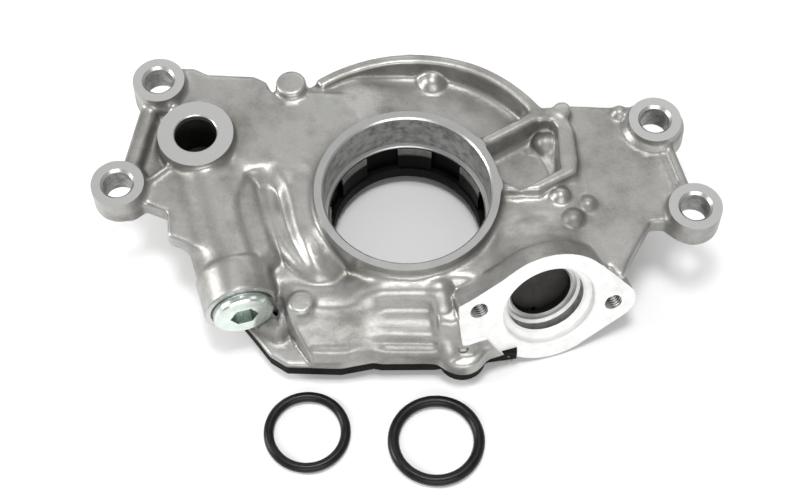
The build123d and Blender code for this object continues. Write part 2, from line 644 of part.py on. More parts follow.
# ---- relief valve's pieces, each made in the valve's own plane ----
def make_relief_plug():
    """The plug: a round head with a hexagon socket, on a threaded shank that holds the spring."""
    plane = valve_plane()
    head = chamfer(rod(Plane.XY, PLUG_HEAD_RADIUS, 0, PLUG_HEAD_HEIGHT).edges().sort_by(Axis.Z)[-1], 0.6)
    shank_radius = PLUG_THREAD_RADIUS - PLUG_THREAD_GAP
    plug = head + rod(Plane.XY, shank_radius, -PLUG_THREAD_LENGTH, 0)
    hexagon = RegularPolygon(PLUG_SOCKET_FLATS / 2, 6, major_radius=False)
    plug -= prism(hexagon, PLUG_HEAD_HEIGHT - PLUG_SOCKET_DEPTH, PLUG_HEAD_HEIGHT + 1)
    seat = prism(Circle(spring_radius() + SPRING_SIDE_GAP), -PLUG_THREAD_LENGTH - 1, spring_low())
    return plane * (plug - seat)


def spring_radius():
    """The spring's outer radius, which fits in the plunger's skirt."""
    return VALVE_BORE_RADIUS - PLUNGER_FIT - PLUNGER_WALL - SPRING_SIDE_GAP


def spring_low():
    """Where the spring sits in the plug, measured from the boss's end face."""
    return -PLUG_THREAD_LENGTH + PLUG_SPRING_SEAT


def plunger_nose():
    """Where the plunger's nose meets its seat, measured from the boss's end face."""
    return -(VALVE_LENGTH - VALVE_SEAT_DISTANCE)


def make_relief_plunger():
    """The cup-shaped plunger, closed towards the seat, at rest on the seat."""
    plane = valve_plane()
    radius = VALVE_BORE_RADIUS - PLUNGER_FIT
    nose = plunger_nose()
    body = rod(Plane.XY, radius, nose, nose + PLUNGER_LENGTH)
    body -= rod(Plane.XY, radius - PLUNGER_WALL, nose + PLUNGER_CROWN, nose + PLUNGER_LENGTH + 1)
    groove = rod(Plane.XY, radius + 1, nose + 4.2, nose + 5.0) - rod(Plane.XY, radius - 0.5, nose, 0)
    return plane * (body - groove)


def make_relief_spring():
    """The coil spring between the plug and the plunger, with closed ends left plain."""
    plane = valve_plane()
    length = spring_low() - plunger_nose() - PLUNGER_CROWN - SPRING_WIRE
    coil_radius = spring_radius() - SPRING_WIRE / 2
    path = Helix(pitch=length / SPRING_TURNS, height=length, radius=coil_radius)
    section = Plane(origin=path @ 0, z_dir=path % 0) * Circle(SPRING_WIRE / 2)
    coil = sweep(section, path=path)
    start = plunger_nose() + PLUNGER_CROWN + SPRING_WIRE / 2
    return plane * Pos(0, 0, start) * coil


def make_oring(place, middle_radius, cord_radius):
    """An O-ring, lying flat on the bench."""
    return Pos(place[0], place[1], bench + cord_radius) * Torus(middle_radius, cord_radius)


os.makedirs("parts", exist_ok=True)
nodes = {
    "housing": make_housing(),
    "cover_plate": make_cover_plate(),
    "inner_rotor": make_inner_rotor(),
    "outer_rotor": make_outer_rotor(),
    "relief_plug": make_relief_plug(),
    "relief_plunger": make_relief_plunger(),
    "relief_spring": make_relief_spring(),
    "pickup_oring_small": make_oring(**SMALL_ORING),
    "pickup_oring_large": make_oring(**LARGE_ORING),
}
for number, screw_place in enumerate(SCREW_PLACES, start=1):
    nodes[f"cover_screw_{number}"] = make_cover_screw(screw_place)
for name, shape in nodes.items():
    shape.label = name
    export_step(shape, f"parts/{name}.step")
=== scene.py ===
# %% [markdown]
# # An engine oil pump, dressed for the camera
# The pump is a die-cast aluminium housing with machined faces, a gerotor inside it, a relief
# valve with a plug, a dark steel cover and two rubber O-rings beside it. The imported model
# gives every piece its place. This file gives the pieces their looks: soft cast skin with
# crisp cuts through it, turned steel, ground steel and rubber.

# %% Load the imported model
import math

import bpy
import numpy as np
import openvdb
from mathutils import Matrix, Vector


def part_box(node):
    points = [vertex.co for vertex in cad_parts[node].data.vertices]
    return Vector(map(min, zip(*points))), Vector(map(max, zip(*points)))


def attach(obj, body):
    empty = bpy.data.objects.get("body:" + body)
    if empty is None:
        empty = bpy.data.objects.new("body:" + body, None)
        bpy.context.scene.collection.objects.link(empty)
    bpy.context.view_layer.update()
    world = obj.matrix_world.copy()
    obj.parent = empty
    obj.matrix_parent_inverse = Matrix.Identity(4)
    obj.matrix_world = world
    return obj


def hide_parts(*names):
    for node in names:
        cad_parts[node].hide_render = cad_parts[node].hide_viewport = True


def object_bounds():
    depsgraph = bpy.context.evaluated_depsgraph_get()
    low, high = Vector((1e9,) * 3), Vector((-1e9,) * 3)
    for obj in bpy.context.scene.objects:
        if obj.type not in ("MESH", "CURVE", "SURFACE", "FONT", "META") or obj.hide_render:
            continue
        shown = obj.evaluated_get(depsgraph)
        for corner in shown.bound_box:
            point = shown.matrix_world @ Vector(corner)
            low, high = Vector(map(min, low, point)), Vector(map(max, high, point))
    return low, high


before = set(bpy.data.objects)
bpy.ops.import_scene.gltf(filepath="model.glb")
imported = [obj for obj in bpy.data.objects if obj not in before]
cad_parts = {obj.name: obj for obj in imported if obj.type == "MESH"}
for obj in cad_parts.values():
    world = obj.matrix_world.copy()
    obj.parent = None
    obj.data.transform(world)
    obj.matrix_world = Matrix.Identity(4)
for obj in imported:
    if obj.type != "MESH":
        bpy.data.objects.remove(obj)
cad_low, cad_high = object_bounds()
print("the packed model spans", [round(v, 4) for v in cad_high - cad_low])

MM = 0.001

# %% [markdown]
# ## Camera, floor and light
# The camera is long and looks down steeply, so that the machined ring looks nearly round.
# A product like this is shown on a white sweep, so an even white sky gives most of the
# light. Four soft boxes, behind, at the left, in front and above, draw out the edges.

# %% Camera
CAMERA_PLACE = Vector((-0.0023, -0.2884, 0.4707))
CAMERA_AIM = Vector((0.0, 0.4928, -0.8701)).normalized()
CAMERA_ROLL = math.radians(-0.38)
CAMERA_LENS = 81.2


def camera_turn(aim, roll):
    """The rotation of a camera that looks along aim, turned by roll about it."""
    side = aim.cross(Vector((0, 0, 1))).normalized()
    up = side.cross(aim)
    right = side * math.cos(roll) + up * math.sin(roll)
    top = up * math.cos(roll) - side * math.sin(roll)
    return Matrix((right, top, -aim)).transposed().to_4x4()


camera_data = bpy.data.cameras.new("camera")
camera_data.lens = CAMERA_LENS
camera_data.sensor_width = 36
camera_data.clip_start = 0.01
camera = bpy.data.objects.new("camera", camera_data)
camera.matrix_world = Matrix.Translation(CAMERA_PLACE) @ camera_turn(CAMERA_AIM, CAMERA_ROLL)
bpy.context.scene.collection.objects.link(camera)
bpy.context.scene.camera = camera
print("the camera has a lens of", CAMERA_LENS, "mm")

# %% Soft boxes and sky
LIGHTS = {
    "back_box": {"place": (0.1, 0.8, 0.6), "size": (1.1, 0.3), "watts": 2.0},
    "left_box": {"place": (-1.05, 0.02, 0.5), "size": (0.3, 0.5), "watts": 8.0},
    "front_box": {"place": (0.1, -0.9, 0.5), "size": (0.9, 0.35), "watts": 5.0},
    "top_box": {"place": (0.0, 0.02, 1.3), "size": (0.35, 0.35), "watts": 9.0},
}
SKY_STRENGTH = 0.42


def add_soft_box(name, place, size, watts):
    """A rectangular area light at place that faces the pump."""
    data = bpy.data.lights.new(name, "AREA")
    data.shape = "RECTANGLE"
    data.size, data.size_y = size
    data.energy = watts
    box = bpy.data.objects.new(name, data)
    box.location = place
    box.rotation_euler = (-Vector(place)).to_track_quat("-Z", "Y").to_euler()
    bpy.context.scene.collection.objects.link(box)


for light_name, values in LIGHTS.items():
    add_soft_box(light_name, **values)

world = bpy.data.worlds.new("studio")
world.use_nodes = True
sky = world.node_tree.nodes["Background"].inputs
sky["Color"].default_value = (1.0, 1.0, 1.0, 1.0)
sky["Strength"].default_value = SKY_STRENGTH
bpy.context.scene.world = world
bpy.context.scene.view_settings.view_transform = "Standard"
print("lights:", ", ".join(LIGHTS))

# %% [markdown]
# ## Making meshes
# Every surface here is worked out with numpy as whole arrays: rows of a profile carried
# round an axis, or an outline pulled straight. One helper hands the arrays to Blender.


# %% Mesh helpers
def add_piece(name, points, faces, materials, smooth=35):
    """Makes a mesh piece from points in millimetres."""
    mesh = bpy.data.meshes.new(name)
    mesh.from_pydata((np.asarray(points, dtype=float) * MM).tolist(), [], faces)
    mesh.update()
    for material in materials:
        mesh.materials.append(material)
    piece = bpy.data.objects.new(name, mesh)
    bpy.context.scene.collection.objects.link(piece)
    soften(piece, smooth)
    return piece


def soften(piece, angle):
    """Shades a piece smooth, but keeps edges that are sharper than the angle."""
    mesh = piece.data
    mesh.polygons.foreach_set("use_smooth", np.ones(len(mesh.polygons), dtype=bool))
    mesh.set_sharp_from_angle(angle=math.radians(angle))


def grid_faces(rows, columns):
    """Quads between the rows of a grid of points, whose columns close in a ring."""
    row, column = np.meshgrid(np.arange(rows - 1), np.arange(columns), indexing="ij")
    following = (column + 1) % columns
    corners = (row * columns + column, row * columns + following,
               (row + 1) * columns + following, (row + 1) * columns + column)
    return np.stack(corners, axis=-1).reshape(-1, 4)


def closed_grid(rows, steps):
    """The faces of a grid of rings, with its two ends closed in two points added after it."""
    step = np.arange(steps)
    following = (step + 1) % steps
    first, top = rows * steps, (rows - 1) * steps
    lower = np.stack([np.full(steps, first), following, step], axis=1)
    upper = np.stack([np.full(steps, first + 1), top + step, top + following], axis=1)
    return grid_faces(rows, steps).tolist() + lower.tolist() + upper.tolist()


# %% Turned and pulled shapes
def plane_axes(normal, side):
    """Three unit axes as rows: across, up and out, from an outward normal and a side direction."""
    out = np.array(normal, dtype=float) / np.linalg.norm(normal)
    across = np.array(side, dtype=float)
    across -= out * across.dot(out)
    across /= np.linalg.norm(across)
    return np.array([across, np.cross(out, across), out])


def turned(profile, steps=96, place=(0, 0, 0), axes=np.eye(3)):
    """A lathe shape. Each (radius, height) of the profile is carried round the third axis.

    A point at angle a is radius * cos(a) across, radius * sin(a) up and height out. The first
    and last radii are nought, so each end closes in one point.
    """
    profile = np.array(profile, dtype=float)
    if profile[0, 1] > profile[-1, 1]:
        profile = profile[::-1]
    angle = np.arange(steps) * 2 * np.pi / steps
    ring = profile[1:-1]
    across = ring[:, :1] * np.cos(angle)
    up = ring[:, :1] * np.sin(angle)
    out = np.repeat(ring[:, 1:], steps, axis=1)
    local = np.stack([across, up, out], axis=-1).reshape(-1, 3)
    ends = np.array([[0, 0, profile[0, 1]], [0, 0, profile[-1, 1]]])
    local = np.vstack([local, ends])
    points = local @ np.asarray(axes) + np.asarray(place, dtype=float)
    return points, closed_grid(len(ring), steps)


def pulled(outline, low, high, place=(0, 0, 0), axes=np.eye(3)):
    """An outline of (across, up) points pulled straight from low to high, with flat ends."""
    outline = np.array(outline, dtype=float)
    count = len(outline)
    bottom = np.column_stack([outline, np.full(count, low)])
    top = np.column_stack([outline, np.full(count, high)])
    local = np.vstack([bottom, top])
    sides = grid_faces(2, count).tolist()
    ends = [list(range(count))[::-1], list(range(count, 2 * count))]
    return local @ np.asarray(axes) + np.asarray(place, dtype=float), sides + ends


def box_points(low, high):
    """The corners and faces of a plain box, used only as a cutting tool."""
    outline = [(low[0], low[1]), (high[0], low[1]), (high[0], high[1]), (low[0], high[1])]
    return pulled(outline, low[2], high[2])


# %% [markdown]
# ## Finishes
# Cast aluminium is a pale warm grey with a fine grain, soft darker clouds where release
# agent has stained it, and a satin sheen. Faces that were machined after casting are
# brighter and show faint tool lines. The effects that several finishes share are node
# groups with named inputs, built once.


# %% Node helpers
def new_group(name, inputs, outputs):
    """An empty node group with float and colour sockets: (name, kind, default value)."""
    group = bpy.data.node_groups.new(name, "ShaderNodeTree")
    for label, kind, value in inputs:
        socket = group.interface.new_socket(label, in_out="INPUT", socket_type=kind)
        socket.default_value = value
    for label, kind in outputs:
        group.interface.new_socket(label, in_out="OUTPUT", socket_type=kind)
    return group, group.nodes.new("NodeGroupInput"), group.nodes.new("NodeGroupOutput")


def feed(tree, node, values):
    """Links each output in values to the node's input of that name, or sets a plain value."""
    for key, value in values.items():
        if isinstance(value, bpy.types.NodeSocket):
            tree.links.new(value, node.inputs[key])
        else:
            node.inputs[key].default_value = value


def add_node(tree, kind, values, **settings):
    """Adds a node, sets its properties, and feeds its inputs."""
    node = tree.nodes.new(kind)
    for key, value in settings.items():
        setattr(node, key, value)
    feed(tree, node, values)
    return node


def add_ramp(tree, factor, start, end, low=(0, 0, 0, 1), high=(1, 1, 1, 1)):
    """A colour ramp from low to high between two positions."""
    ramp = add_node(tree, "ShaderNodeValToRGB", {"Fac": factor})
    first, second = ramp.color_ramp.elements
    first.position, second.position = start, end
    first.color, second.color = low, high
    return ramp.outputs["Color"]


def add_mix(tree, factor, first, second):
    """A colour that goes from the first to the second as the factor rises."""
    links = {"Factor": factor, 6: first, 7: second}
    return add_node(tree, "ShaderNodeMix", links, data_type="RGBA").outputs[2]


def object_place(tree):
    """The place on the piece, in metres, which doesn't move with the camera."""
    return tree.nodes.new("ShaderNodeTexCoord").outputs["Object"]


# %% Clouds
FLOAT, COLOUR, VECTOR = "NodeSocketFloat", "NodeSocketColor", "NodeSocketVector"


def make_mottle_group():
    """Clouds of two sizes between two colours, for stained or oiled metal."""
    inputs = [("Pale", COLOUR, (0.6, 0.6, 0.6, 1)), ("Dark", COLOUR, (0.4, 0.4, 0.4, 1)),
              ("Cloud Scale", FLOAT, 60.0), ("Speck Scale", FLOAT, 900.0), ("Specks", FLOAT, 0.3)]
    group, given, result = new_group("mottle", inputs, [("Colour", COLOUR), ("Mask", FLOAT)])
    place = object_place(group)
    cloud = add_node(group, "ShaderNodeTexNoise", {
        "Vector": place, "Scale": given.outputs["Cloud Scale"], "Detail": 5.0, "Roughness": 0.6})
    speck = add_node(group, "ShaderNodeTexNoise", {
        "Vector": place, "Scale": given.outputs["Speck Scale"], "Detail": 3.0, "Roughness": 0.7})
    clouds = add_ramp(group, cloud.outputs["Fac"], 0.42, 0.68)
    specks = add_ramp(group, speck.outputs["Fac"], 0.5, 0.75)
    small = add_node(group, "ShaderNodeMath", {0: specks, 1: given.outputs["Specks"]},
                     operation="MULTIPLY")
    both = add_node(group, "ShaderNodeMath", {0: clouds, 1: small.outputs[0]},
                    operation="ADD", use_clamp=True)
    mixed = add_mix(group, both.outputs[0], given.outputs["Pale"], given.outputs["Dark"])
    feed(group, result, {"Colour": mixed, "Mask": both.outputs[0]})
    return group


# %% Grain
def make_grain_group():
    """A bumpy skin of two grain sizes, such as a die leaves on a casting."""
    inputs = [("Fine Scale", FLOAT, 2500.0), ("Coarse Scale", FLOAT, 350.0),
              ("Fine Depth", FLOAT, 0.15), ("Coarse Depth", FLOAT, 0.3),
              ("Distance", FLOAT, 0.0002)]
    group, given, result = new_group("grain", inputs, [("Normal", VECTOR)])
    place = object_place(group)
    coarse = add_node(group, "ShaderNodeTexNoise", {
        "Vector": place, "Scale": given.outputs["Coarse Scale"], "Detail": 3.0})
    fine = add_node(group, "ShaderNodeTexNoise", {
        "Vector": place, "Scale": given.outputs["Fine Scale"], "Detail": 2.0})
    first = add_node(group, "ShaderNodeBump", {
        "Height": coarse.outputs["Fac"], "Strength": given.outputs["Coarse Depth"],
        "Distance": given.outputs["Distance"]})
    second = add_node(group, "ShaderNodeBump", {
        "Height": fine.outputs["Fac"], "Strength": given.outputs["Fine Depth"],
        "Distance": given.outputs["Distance"], "Normal": first.outputs["Normal"]})
    feed(group, result, {"Normal": second.outputs["Normal"]})
    return group


# %% Rubbed edges and painted shade in hollows
def make_edge_group():
    """Turns the casting's measured bend and depth into masks for bright edges and painted shade in
    hollows.
    """
    inputs = [("Edge Start", FLOAT, 0.12), ("Edge End", FLOAT, 0.6),
              ("Hollow Start", FLOAT, 0.1), ("Hollow End", FLOAT, 1.6)]
    group, given, result = new_group("edges", inputs, [("Edge", FLOAT), ("Hollow", FLOAT)])
    for label in ("Edge", "Hollow"):
        measured = add_node(group, "ShaderNodeAttribute", {}, attribute_name=label.lower())
        spread = add_node(group, "ShaderNodeMapRange", {
            "Value": measured.outputs["Fac"], "From Min": given.outputs[label + " Start"],
            "From Max": given.outputs[label + " End"]}, clamp=True)
        feed(group, result, {label: spread.outputs["Result"]})
    return group


MOTTLE = make_mottle_group()
GRAIN = make_grain_group()
EDGES = make_edge_group()


# %% Starting a finish
def new_finish(name):
    """A material, its node tree and its shader, ready for more nodes."""
    material = bpy.data.materials.new(name)
    material.use_nodes = True
    shader = material.node_tree.nodes["Principled BSDF"]
    return material, material.node_tree, shader


def place_group(tree, group, **values):
    """Puts a shared group into a material and sets its named inputs."""
    node = tree.nodes.new("ShaderNodeGroup")
    node.node_tree = group
    for label, value in values.items():
        node.inputs[label.replace("_", " ")].default_value = value
    return node


# %% [markdown]
# ## Aluminium as it leaves the die and the mill
# A die leaves a satin skin that is stained in clouds and rubbed bright on edges, and its hollows
# carry a painted shade. An image could show that, but it would need an unwrapped mesh. Noise on
# Object coordinates needs none, and the mesh itself says where its edges and hollows are. A milled
# face is plainer: brighter and smoother, with fine tool lines.

# %% Cast aluminium
def make_cast_aluminium():
    """Satin cast skin: pale warm grey, clouded, brighter on edges, with painted shade in its
    hollows.
    """
    material, tree, shader = new_finish("cast_aluminium")
    mottle = place_group(tree, MOTTLE, Pale=(0.37, 0.366, 0.352, 1), Dark=(0.2, 0.194, 0.178, 1),
                         Cloud_Scale=55.0, Speck_Scale=1200.0, Specks=0.35)
    edges = place_group(tree, EDGES)
    grain = place_group(tree, GRAIN, Fine_Scale=2600.0, Coarse_Scale=420.0, Fine_Depth=0.2,
                        Coarse_Depth=0.35, Distance=0.00018)
    bright = add_mix(tree, edges.outputs["Edge"], mottle.outputs["Colour"], (0.52, 0.52, 0.51, 1))
    # Hollows go towards a brown near-black: painted shade.
    hollow_shade = add_mix(tree, edges.outputs["Hollow"], bright, (0.13, 0.12, 0.1, 1))
    rough = add_node(tree, "ShaderNodeMapRange", {
        "Value": mottle.outputs["Mask"], "To Min": 0.36, "To Max": 0.5})
    feed(tree, shader, {"Base Color": hollow_shade, "Roughness": rough.outputs["Result"],
                        "Normal": grain.outputs["Normal"], "Metallic": 0.8})
    return material


# %% Machined aluminium
def make_machined_aluminium():
    """A milled or bored face: bright and smooth, with very fine tool lines."""
    material, tree, shader = new_finish("machined_aluminium")
    lines = add_node(tree, "ShaderNodeTexNoise", {
        "Vector": object_place(tree), "Scale": 3500.0, "Detail": 2.0})
    tint = add_ramp(tree, lines.outputs["Fac"], 0.3, 0.7, (0.5, 0.5, 0.49, 1),
                    (0.6, 0.6, 0.595, 1))
    bump = add_node(tree, "ShaderNodeBump", {
        "Height": lines.outputs["Fac"], "Strength": 0.12, "Distance": 0.00005})
    feed(tree, shader, {"Base Color": tint, "Normal": bump.outputs["Normal"],
                        "Metallic": 0.9, "Roughness": 0.33})
    return material


# %% [markdown]
# ## Bores, steels and rubber
# Most other finishes are one recipe with other numbers: clouds between two colours, a fine grain
# and an even sheen. The rotors are the exception. Their near-black colour is painted shade for the
# dark deep in the bore. Only the lands that the crankshaft slides through are rubbed bright, with
# painted light on their tops alone, so their finish reads each point's radius and height.

# %% Plain metal and rubber
def make_metal(name, pale, dark, rough, metallic=1.0, cloud=120.0, grain=0.15):
    """A plain finish for metal or rubber: clouded colour, a fine grain and an even sheen."""
    material, tree, shader = new_finish(name)
    mottle = place_group(tree, MOTTLE, Pale=(*pale, 1), Dark=(*dark, 1), Cloud_Scale=cloud,
                         Speck_Scale=1500.0, Specks=0.4)
    skin = place_group(tree, GRAIN, Fine_Scale=3000.0, Coarse_Scale=600.0, Fine_Depth=grain,
                       Coarse_Depth=grain, Distance=0.0001)
    spread = add_node(tree, "ShaderNodeMapRange", {
        "Value": mottle.outputs["Mask"], "To Min": rough, "To Max": rough + 0.12})
    feed(tree, shader, {"Base Color": mottle.outputs["Colour"], "Metallic": metallic,
                        "Roughness": spread.outputs["Result"], "Normal": skin.outputs["Normal"]})
    return material


# %% Rotor steel
def make_shaded_rotor_steel():
    """Sintered steel painted near black as shade, whose innermost lands are rubbed bright, with
    painted light near their tops only.
    """
    material, tree, shader = new_finish("sintered_steel")
    flat = add_node(tree, "ShaderNodeVectorMath", {0: object_place(tree), 1: (1.0, 1.0, 0.0)},
                    operation="MULTIPLY")
    radius = add_node(tree, "ShaderNodeVectorMath", {0: flat.outputs[0]}, operation="LENGTH")
    inner = add_node(tree, "ShaderNodeMapRange", {
        "Value": radius.outputs["Value"], "From Min": 0.0246, "From Max": 0.0242})
    height = add_node(tree, "ShaderNodeSeparateXYZ", {0: object_place(tree)})
    # Only the lands' upper part gets the bright finish: painted light on top, painted shade below.
    upper = add_node(tree, "ShaderNodeMapRange", {
        "Value": height.outputs["Z"], "From Min": -0.0186, "From Max": -0.0172})
    rubbed_and_lit = add_node(tree, "ShaderNodeMath", {
        0: inner.outputs["Result"], 1: upper.outputs["Result"]}, operation="MULTIPLY")
    mottle = place_group(tree, MOTTLE, Pale=(0.2, 0.2, 0.18, 1), Dark=(0.09, 0.09, 0.08, 1),
                         Cloud_Scale=150.0, Speck_Scale=1800.0, Specks=0.5)
    # Away from the lit lands the rotor is near black: painted shade.
    colour = add_mix(tree, rubbed_and_lit.outputs[0], (0.002, 0.002, 0.002, 1), mottle.outputs["Colour"])
    feed(tree, shader, {"Base Color": colour, "Metallic": rubbed_and_lit.outputs[0], "Roughness": 0.5})
    return material


# %% Every finish
CAST = make_cast_aluminium()
MACHINED = make_machined_aluminium()
BORED = make_metal("bored_aluminium", (0.34, 0.34, 0.335), (0.17, 0.165, 0.16), 0.36,
                   metallic=0.85, cloud=340.0)
TURNED = make_metal("turned_ring", (0.42, 0.42, 0.415), (0.33, 0.33, 0.325), 0.32,
                    metallic=0.9, cloud=140.0, grain=0.1)
# Near black for deep bores and thread roots: painted shade, where little light gets in.
SHADOWED = make_metal("bore_painted_shade", (0.03, 0.028, 0.026), (0.015, 0.014, 0.013), 0.4,
                      metallic=0.4)
# Near white for the pickup flange's faces: painted light, where the front light washes them out.
PAINTED_LIGHT_FINISH = make_metal("face_painted_light", (0.86, 0.86, 0.85), (0.78, 0.78, 0.77), 0.5,
                  metallic=0.25, cloud=300.0, grain=0.05)
FINISHES = [CAST, MACHINED, BORED, SHADOWED, TURNED, PAINTED_LIGHT_FINISH]
COVER = make_metal("oiled_plate", (0.010, 0.0085, 0.0075), (0.005, 0.0045, 0.004), 0.6,
                   metallic=0.0)
SINTERED_SHADED = make_shaded_rotor_steel()
ZINC = make_metal("zinc_plating", (0.72, 0.78, 0.74), (0.6, 0.68, 0.62), 0.2,
                  cloud=200.0, grain=0.08)
SCREWS = make_metal("screw_plating", (0.24, 0.235, 0.22), (0.12, 0.115, 0.105), 0.35)
GROUND = make_metal("ground_steel", (0.6, 0.6, 0.61), (0.5, 0.5, 0.51), 0.22, grain=0.05)
WIRE = make_metal("spring_wire", (0.36, 0.36, 0.37), (0.24, 0.24, 0.25), 0.3)
RUBBER = make_metal("oring_rubber", (0.004, 0.004, 0.004), (0.007, 0.007, 0.007), 0.3,
                    metallic=0.0, cloud=400.0, grain=0.1)
for dull, level in ((RUBBER, 0.25), (COVER, 0.06), (SINTERED_SHADED, 0.03)):
    dull.node_tree.nodes["Principled BSDF"].inputs["Specular IOR Level"].default_value = level
print(len(bpy.data.materials), "finishes")

# %% [markdown]
# ## The floor
# The pump lies on its cover screws on a plain white surface. It is a stage, not a part.

# %% Floor
FLOOR_SIZE = 3.0


def make_floor():
    """A broad white sheet at the level of the lowest screw heads."""
    level = cad_low.z
    half = FLOOR_SIZE / 2
    corners = [(-half, -half, level), (half, -half, level), (half, half, level),
               (-half, half, level)]
    mesh = bpy.data.meshes.new("floor")
    mesh.from_pydata(corners, [], [(0, 1, 2, 3)])
    material, tree, shader = new_finish("white_sweep")
    cloud = add_node(tree, "ShaderNodeTexNoise", {
        "Vector": object_place(tree), "Scale": 3.0, "Detail": 2.0})
    tint = add_ramp(tree, cloud.outputs["Fac"], 0.3, 0.7, (0.9, 0.9, 0.9, 1), (0.93, 0.93, 0.93, 1))
    feed(tree, shader, {"Base Color": tint, "Roughness": 0.45})
    mesh.materials.append(material)
    floor = bpy.data.objects.new("floor", mesh)
    bpy.context.scene.collection.objects.link(floor)
    print("the floor lies at", round(level, 4))


make_floor()

# %% [markdown]
# ## The casting as a field
# Where two forms of a casting meet, the die leaves a round inside corner. Meshes joined by
# Booleans meet in hard lines, so the casting is worked out another way: every form is a
# signed distance (negative inside) on one grid of points, and two forms are joined by a
# smooth minimum, which makes the fillet by itself. All sizes are millimetres.

# %% Sizes of the casting
CELL = 0.5
JOINT_FACE = -26.0
CASE_RADIUS = 47.5
ARC_RADIUS = 51.7
ARC_INNER = 48.1
RING_RADIUS = 28.6
CRANK_BORE = 25.8
CRANK_LEDGE = 24.4
POCKET_RADIUS = 39.27
ECCENTRICITY = 2.4
WING_TOP = -4.0
WING_BOTTOM = -10.0
RECESS_FLOOR = -8.5
EARS = [(-78.5, 41.1), (-88.9, 2.7), (77.7, 24.9), (87.7, -6.8)]
EAR_RADIUS = 8.25
OUTLET = (-65.8, 20.8)
OUTLET_RADIUS = 11.9
SCREW_PLACES = [(-36.6, 40.8), (8.4, 45.6), (43.9, 21.2), (51.1, -6.7), (16.5, -43.0),
                (-32.3, -34.8), (-49.6, -2.0)]
SCREW_LOBE = 7.3

VALVE_TURN = math.radians(15.9)
VALVE_LENGTH = 57.4
VALVE_OUT = np.array([math.sin(VALVE_TURN), -math.cos(VALVE_TURN), 0.0])
VALVE_END = np.array([*OUTLET, -12.5]) + VALVE_LENGTH * VALVE_OUT
VALVE_AXES = plane_axes(VALVE_OUT, (math.cos(VALVE_TURN), math.sin(VALVE_TURN), 0.0))

PICKUP_TURN = math.radians(16.2)
PICKUP_TILT = math.radians(20.2)
PICKUP_PLACE = np.array([43.1, -33.8, -14.0])
PICKUP_OUT = (math.sin(PICKUP_TURN) * math.cos(PICKUP_TILT),
              -math.cos(PICKUP_TURN) * math.cos(PICKUP_TILT), math.sin(PICKUP_TILT))
PICKUP_AXES = plane_axes(PICKUP_OUT, (math.cos(PICKUP_TURN), math.sin(PICKUP_TURN), 0.0))

# %% The grid of points
housing_low, housing_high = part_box("housing")
grid_low = np.array(housing_low) / MM - 3
grid_high = np.array(housing_high) / MM + 3
GX, GY, GZ = (np.arange(a, b, CELL, dtype=np.float32) for a, b in zip(grid_low, grid_high))
FAR = 20.0
field = np.full((len(GX), len(GY), len(GZ)), FAR, dtype=np.float32)
print("grid of", field.shape, "points")


def window(low, high):
    """The part of the grid between two corners: its slices and its x, y and z values."""
    parts = []
    for values, start, stop in zip((GX, GY, GZ), low, high):
        parts.append(slice(*np.searchsorted(values, (start, stop))))
    along_x, along_y, along_z = parts
    x, y, z = GX[along_x][:, None, None], GY[along_y][None, :, None], GZ[along_z][None, None, :]
    return tuple(parts), x, y, z


# %% How two forms meet
def smooth_join(first, second, blend):
    """The smaller distance, less a bump of the blend's size where the two are nearly equal."""
    near = np.maximum(blend - np.abs(first - second), 0) / blend
    return np.minimum(first, second) - near * near * blend / 4


def join(low, high, form, blend):
    """Adds form(x, y, z) to the casting between two corners, with a fillet."""
    where, x, y, z = window(low, high)
    field[where] = smooth_join(field[where], form(x, y, z), blend)


def cut(low, high, form, blend):
    """Takes form(x, y, z) out of the casting between two corners, with a rounded rim."""
    where, x, y, z = window(low, high)
    field[where] = -smooth_join(-field[where], form(x, y, z), blend)


# %% Flat outlines
def outline_distance(points, x, y):
    """Distance to a closed outline, from the nearest side, and negative inside it."""
    points = np.array(points, dtype=np.float32)
    gap = np.full(np.broadcast(x, y).shape, 1e6, dtype=np.float32)
    inside = np.zeros(gap.shape, dtype=bool)
    for start, end in zip(points, np.roll(points, -1, axis=0)):
        side = end - start
        off_x, off_y = x - start[0], y - start[1]
        along = np.clip((off_x * side[0] + off_y * side[1]) / side.dot(side), 0, 1)
        gap = np.minimum(gap, np.hypot(off_x - along * side[0], off_y - along * side[1]))
        if start[1] != end[1]:
            crossed = (y < start[1]) != (y < end[1])
            inside ^= crossed & (off_x < side[0] * off_y / side[1])
    return np.where(inside, -gap, gap)


# %% Slabs, discs and bars
def slab(flat, z, low, high, edge=0.6, draft=0.03):
    """An outline's distance given thickness, with round edges and slightly sloping sides.

    Inside, it is the larger of the distances to the sides and to the two faces. Outside, it
    is the hypotenuse of the two, less the edge's radius.
    """
    flat = flat + draft * (z - low) + edge
    tall = np.abs(z - (low + high) / 2) - (high - low) / 2 + edge
    outside = np.hypot(np.maximum(flat, 0), np.maximum(tall, 0))
    return np.minimum(np.maximum(flat, tall), 0) + outside - edge


def disc(x, y, centre, radius):
    """Distance to a circle in plan: that to its centre, less the radius."""
    return np.hypot(x - centre[0], y - centre[1]) - radius


def bar(x, y, start, end, width):
    """Distance to a bar in plan: to the nearest point of its line, less half its width."""
    side = np.array(end, dtype=np.float32) - start
    along = np.clip(((x - start[0]) * side[0] + (y - start[1]) * side[1]) / side.dot(side), 0, 1)
    return np.hypot(x - start[0] - along * side[0], y - start[1] - along * side[1]) - width / 2


# %% Round forms
def limb(x, y, z, start, end, start_radius, end_radius):
    """Distance to a round limb: to the nearest point of its line, less its radius there."""
    start = np.array(start, dtype=np.float32)
    side = np.array(end, dtype=np.float32) - start
    dot = (x - start[0]) * side[0] + (y - start[1]) * side[1] + (z - start[2]) * side[2]
    along = np.clip(dot / side.dot(side), 0, 1)
    gap = np.sqrt((x - start[0] - along * side[0]) ** 2 + (y - start[1] - along * side[1]) ** 2
                  + (z - start[2] - along * side[2]) ** 2)
    return gap - start_radius - along * (end_radius - start_radius)


